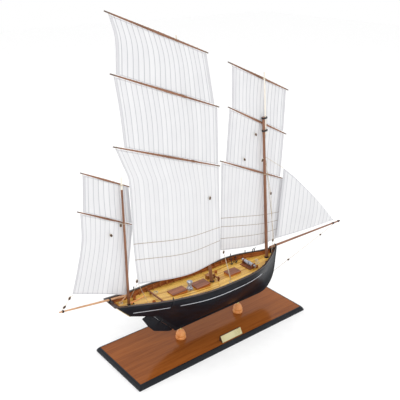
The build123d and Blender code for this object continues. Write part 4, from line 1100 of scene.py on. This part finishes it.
# ---------------------------------------------------------------- blocks
@dataclass
class Blocks:
    """Rigging blocks: an oval shell with a sheave in its slot, a rope strop and a hook eye."""

    length: float = 7.0 * MM
    width: float = 4.6 * MM
    thickness: float = 3.2 * MM

    def shell(self) -> bpy.types.Object:
        """Shapes one wooden shell, upright, with its swallow cut through."""
        shell = block((self.width, self.thickness, self.length))
        carve(shell, "BEVEL", width=1.5 * MM, segments=2, limit_method="NONE")
        carve(shell, "SUBSURF", levels=1, render_levels=1)
        slot = block((self.width * 1.2, self.thickness * 0.28, self.length * 0.56))
        carve(shell, "BOOLEAN", operation="DIFFERENCE", object=slot, solver="EXACT")
        bpy.data.objects.remove(slot)
        return shell

    def sheave(self) -> bpy.types.Object:
        """Turns the sheave, with a groove round it."""
        bpy.ops.mesh.primitive_cylinder_add(
            vertices=20, radius=self.width * 0.42, depth=self.thickness * 0.24, rotation=(math.pi / 2, 0, 0)
        )
        wheel = settle(bpy.context.object)
        edit(
            wheel,
            lambda face: abs(face.normal.y) > 0.9,
            True,
            inset(self.width * 0.12),
            inset(self.width * 0.08),
        )
        return carve(wheel, "BEVEL", width=0.1 * MM, segments=1)

    def strop(self) -> bpy.types.Object:
        """Bends the rope strop round the shell and into an eye above it."""
        reach, height = self.width / 2 + 0.25 * MM, self.length / 2 + 0.2 * MM
        oval = [
            Vector((math.cos(turn) * reach, 0, math.sin(turn) * height))
            for turn in (step * math.tau / 20 for step in range(20))
        ]
        loop = rope_run("strop", oval, 0.4 * MM, closed=True)
        eye = ring(0.8 * MM, 0.3 * MM, 12, (0, 0, height + 0.9 * MM), (math.pi / 2, 0, 0))
        pick(loop, eye)
        bpy.ops.object.join()
        return loop

    def places(self) -> list[Matrix]:
        """Finds each block's middle and lean from the CAD blocks."""
        found = []
        for points in islands("blocks"):
            middle = sum(points, Vector()) / len(points)
            far = max(points, key=lambda p: Vector((p.x - middle.x, p.z - middle.z)).length)
            long_way = Vector((far.x - middle.x, 0, far.z - middle.z)).normalized()
            long_way *= 1 if long_way.z > 0 else -1
            level = (min(p.y for p in points) + max(p.y for p in points)) / 2
            turn = math.atan2(long_way.x, long_way.z)
            spot = Matrix.Translation((middle.x, level, middle.z))
            found.append(spot @ Matrix.Rotation(turn, 4, "Y"))
        return found

    def build(self) -> None:
        """Sets out the shells, sheaves and strops."""
        places = self.places()
        shells = copies(self.shell(), places, "block_shells")
        dress(shells, finishes["walnut"])
        sheaves = copies(self.sheave(), places, "block_sheaves")
        dress(sheaves, finishes["brass"])
        strops = copies(outward(self.strop()), places, "block_strops")
        dress(strops, finishes["pale_rope"])
        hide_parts("blocks")


# ---------------------------------------------------------------- loose gear on deck
@dataclass
class DeckGear:
    """Small wooden gear that stands on the deck: a box by the mainmast, buckets and a beam."""

    box_at: Profile = (22 * MM, 17 * MM)
    box_size: Size = (13 * MM, 9 * MM, 9 * MM)
    bucket_spots: tuple[Profile, ...] = (
        (-187, 17), (-181, 26), (-176, -22), (-158, -16), (52, 26), (146, -19),
    )
    bucket_radius: float = 3.0 * MM
    bucket_height: float = 5.5 * MM
    beam_x: float = -141 * MM
    beam_reach: float = 36 * MM

    def deck_level(self, x: float, y: float) -> float:
        """Gives the height of the deck's top at a place."""
        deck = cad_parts["deck"]
        hit, spot, _, _ = deck.ray_cast(Vector((x, y, CAD_HIGH.z)), Vector((0, 0, -1)))
        return spot.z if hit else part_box("deck")[1].z

    def box(self) -> None:
        """Builds the box, with a framed lid that overhangs it."""
        x, y = self.box_at
        middle = self.deck_level(x, y) + self.box_size[2] / 2 - 0.3 * MM
        box = block(self.box_size, (x, y, middle))
        box.name = "companion_box"
        edit(
            box,
            looks_up,
            True,
            pull(0, 0, 0.01 * MM),
            widen(1.14, 1.18, 1),
            pull(0, 0, 1.3 * MM),
            inset(1.6 * MM),
            lambda: bpy.ops.transform.translate(value=(0, 0, -0.5 * MM)),
        )
        edit(
            box,
            lambda face: abs(face.normal.z) < 0.1 and face.area > 20 * MM * MM,
            True,
            inset(1.3 * MM, True),
            lambda: bpy.ops.mesh.extrude_region_shrink_fatten(
                TRANSFORM_OT_shrink_fatten={"value": -0.4 * MM}
            ),
        )
        carve(box, "BEVEL", width=0.2 * MM, segments=2, angle_limit=math.radians(40))
        dress(outward(box), finishes["timber_varnish"])

    def buckets(self) -> None:
        """Turns one staved bucket with two hoops, and sets out its copies."""
        radius, height = self.bucket_radius, self.bucket_height
        bpy.ops.mesh.primitive_cylinder_add(
            vertices=24, radius=radius, depth=height, location=(0, 0, height / 2)
        )
        bucket = settle(bpy.context.object)
        edit(
            bucket,
            looks_up,
            True,
            widen(1.18, 1.18, 1),
            inset(0.5 * MM),
            pull(0, 0, -0.8 * height),
        )
        carve(bucket, "BEVEL", width=0.12 * MM, segments=1, angle_limit=math.radians(40))
        rims = [
            ring(radius * (1.02 + 0.18 * share), 0.22 * MM, 24, (0, 0, height * share))
            for share in (0.25, 0.8)
        ]
        pick(*rims)
        bpy.ops.object.join()
        places = [
            Matrix.Translation((x * MM, y * MM, self.deck_level(x * MM, y * MM) - 0.1 * MM))
            for x, y in self.bucket_spots
        ]
        dress(copies(bucket, places, "deck_buckets"), finishes["coaming_varnish"])
        dress(copies(rims[0], places, "bucket_hoops"), finishes["black_iron"])

    def beam(self) -> None:
        """Lays the beam across the after deck on two chocks."""
        level = self.deck_level(self.beam_x, 0) + 5 * MM
        beam = block((3.4 * MM, 2 * self.beam_reach, 2.2 * MM), (self.beam_x, 0, level))
        beam.name = "after_beam"
        for side in (-1, 1):
            edit(
                beam,
                lambda face, side=side: face.normal.y * side > 0.9,
                True,
                inset(0.4 * MM),
                pull(0, side * 1.5 * MM, 0),
            )
        carve(beam, "BEVEL", width=0.3 * MM, segments=2, angle_limit=math.radians(40))
        chock_height = level - self.deck_level(self.beam_x, 0)
        chock = block((5 * MM, 3 * MM, chock_height))
        edit(chock, looks_up, True, widen(0.6, 1, 1))
        carve(chock, "BEVEL", width=0.3 * MM, segments=2, angle_limit=math.radians(30))
        places = [
            Matrix.Translation((self.beam_x, side * self.beam_reach * 0.6, level - chock_height / 2))
            for side in (-1, 1)
        ]
        dress(copies(chock, places, "beam_chocks"), finishes["rail_varnish"])
        dress(outward(beam), finishes["rail_varnish"])

    def build(self) -> None:
        """Builds all of the gear."""
        self.box()
        self.buckets()
        self.beam()


# ---------------------------------------------------------------- CAD nodes
@dataclass
class CarriedNodes:
    """The CAD nodes that stay as they are, each with its finish."""

    nodes_in: dict[str, tuple[str, ...]] = field(
        default_factory=lambda: {
            "base_lacquer": ("base_board",),
            "satin_black": (
                "base_mouldings", "keel_assembly", "transom", "side_timbers", "keel_spine", "rudder",
            ),
            "pedestal_varnish": ("stand_pedestals", "tiller"),
            "brass": ("pedestal_screws",),
            "plate_brass": ("name_plate",),
            "walnut": ("plate_block",),
            "hull_sides": ("hull_shell",),
            "cream_moulding": ("transom_mouldings",),
            "rail_cap": ("cap_rail",),
            "white_line": ("sheer_stripe",),
            "timber_varnish": ("stanchions",),
            "deck_planks": ("deck",),
            "plywood": ("bulkheads",),
            "black_iron": ("gudgeons", "mast_collars", "rail_pins", "anchors", "spar_irons"),
            "coaming_varnish": ("hatch_coamings",),
            "hatch_boards": ("hatch_covers",),
            "grey_casting": ("capstan_base", "capstan_drum", "windlass_barrel"),
            "rail_varnish": ("windlass_bitts", "mast_bitts"),
            "pale_rope": ("rope_coils", "parrels", "running_rigging"),
            "tan_rope": ("standing_rigging",),
            "spar_level": ("bowsprit",),
            "tan_spar": ("boomkin",),
            "foremast_wood": ("foremast",),
            "mainmast_wood": ("mainmast",),
            "mizzenmast_wood": ("mizzenmast",),
            "pole_white": ("fore_topmast", "main_topmast"),
        }
    )

    def build(self) -> None:
        """Dresses every carried node."""
        for finish, nodes in self.nodes_in.items():
            for node in nodes:
                paint_node(node, finishes[finish])
        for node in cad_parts:
            if node.endswith("_yard"):
                low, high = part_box(node)
                yard = TippedWood(
                    f"{node}_wood", SPAR_DARK, SPAR_RED, tilt=-Yard(node).slope(),
                    middle=(low.x + high.x) / 2, half_length=(high.x - low.x) / 2,
                )
                paint_node(node, yard.make())


# ---------------------------------------------------------------- studio
@dataclass
class Studio:
    """A pale floor, soft lights and the camera."""

    eye: Vector = field(default_factory=lambda: Vector((-0.78996, -0.96587, 0.85091)))
    target: Vector = field(default_factory=lambda: Vector((0.0636, 0.1017, 0.2909)))
    lens: float = 54.77
    floor_width: float = 12.0

    def build(self) -> None:
        """Sets up the camera, the floor and the lights."""
        self.camera()
        self.floor()
        self.world()
        self.softbox("key_light", (-1.0, -1.6, 2.2), 2.0, 14.0)
        self.softbox("fill_light", (-2.2, 0.2, 1.4), 1.8, 5.0)
        self.softbox("top_light", (0.3, 0.3, 2.6), 2.2, 9.0)

    def camera(self) -> None:
        """Stands the camera off the starboard quarter."""
        data = bpy.data.cameras.new("camera")
        data.lens = self.lens
        data.sensor_width = 36.0
        data.clip_start = 0.01
        camera = bpy.data.objects.new("camera", data)
        camera.location = self.eye
        camera.rotation_euler = (self.target - self.eye).to_track_quat("-Z", "Y").to_euler()
        bpy.context.scene.collection.objects.link(camera)
        bpy.context.scene.camera = camera

    def floor(self) -> None:
        """Lays the floor just under the stand."""
        deselect()
        bpy.ops.mesh.primitive_plane_add(size=self.floor_width, location=(0, 0, CAD_LOW.z - 0.1 * MM))
        floor = settle(bpy.context.object)
        floor.name = "studio_floor"
        shader = Shader("floor_paper")
        speck = shader.noise(shader.place(0.0, (40, 40, 40)), 2.0)
        colour = shader.ramp(speck, (0.3, srgb(252, 252, 252)), (0.7, srgb(255, 255, 255)))
        floor.data.materials.append(shader.finish(colour, 0.9))

    def world(self) -> None:
        """Lights everything evenly from a white room."""
        world = bpy.data.worlds.new("white_room")
        world.use_nodes = True
        world.node_tree.nodes["Background"].inputs["Color"].default_value = (1.0, 1.0, 1.0, 1.0)
        world.node_tree.nodes["Background"].inputs["Strength"].default_value = 1.0
        bpy.context.scene.world = world
        bpy.context.scene.view_settings.view_transform = "Standard"

    def softbox(self, name: str, place: Size, size: float, power: float) -> None:
        """Hangs a square soft light that looks at the model."""
        data = bpy.data.lights.new(name, "AREA")
        data.size = size
        data.energy = power
        light = bpy.data.objects.new(name, data)
        light.location = place
        light.rotation_euler = (self.target - Vector(place)).to_track_quat("-Z", "Y").to_euler()
        bpy.context.scene.collection.objects.link(light)


finishes: dict[str, bpy.types.Material] = {}


def mast_wood(name: str, rake: float) -> Wood:
    """Gives a mast's wood, its grain running up the raked mast."""
    return Wood(name, SPAR_DARK, SPAR_RED, Axis.UPRIGHT, tilt=math.radians(rake), roughness=0.38)


def mix_finishes() -> None:
    """Makes each finish that several parts share."""
    shelf = [
        BLACK, WHITE_LINE, POLE_WHITE, CREAM_EDGE, BASE_WOOD, PEDESTAL_WOOD, RAIL, TIMBER, HATCH, COAMING,
        DECK, INNER, WALNUT, BRASS, PLATE, CAST, IRON, ROPE_PALE, ROPE_WHITE, ROPE_TAN, REEF,
        HullSides("hull_sides", BLACK, BULWARK),
        Wood("rail_cap", srgb(30, 24, 22), srgb(64, 42, 32), coat=0.3),
        Wood("spar_level", SPAR_DARK, SPAR_RED),
        Wood("tan_spar", TAN_DARK, TAN, tilt=math.radians(8)),
        mast_wood("foremast_wood", 4.85),
        mast_wood("mainmast_wood", 10.0),
        PaintedHead(
            "mizzenmast_wood", SPAR_DARK, SPAR_RED, Axis.UPRIGHT, roughness=0.38,
            above=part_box("mizzenmast")[1].z - 26 * MM,
        ),
    ]
    for finish in shelf:
        finishes[finish.name] = finish.make()


def main() -> None:
    """Builds the scene."""
    logging.basicConfig(level=logging.INFO, format="%(name)s %(message)s")
    Studio().build()
    mix_finishes()
    CarriedNodes().build()
    for sail in sail_plan():
        sail.build()
    Blocks().build()
    DeckGear().build()


if __name__ == "__main__":
    main()
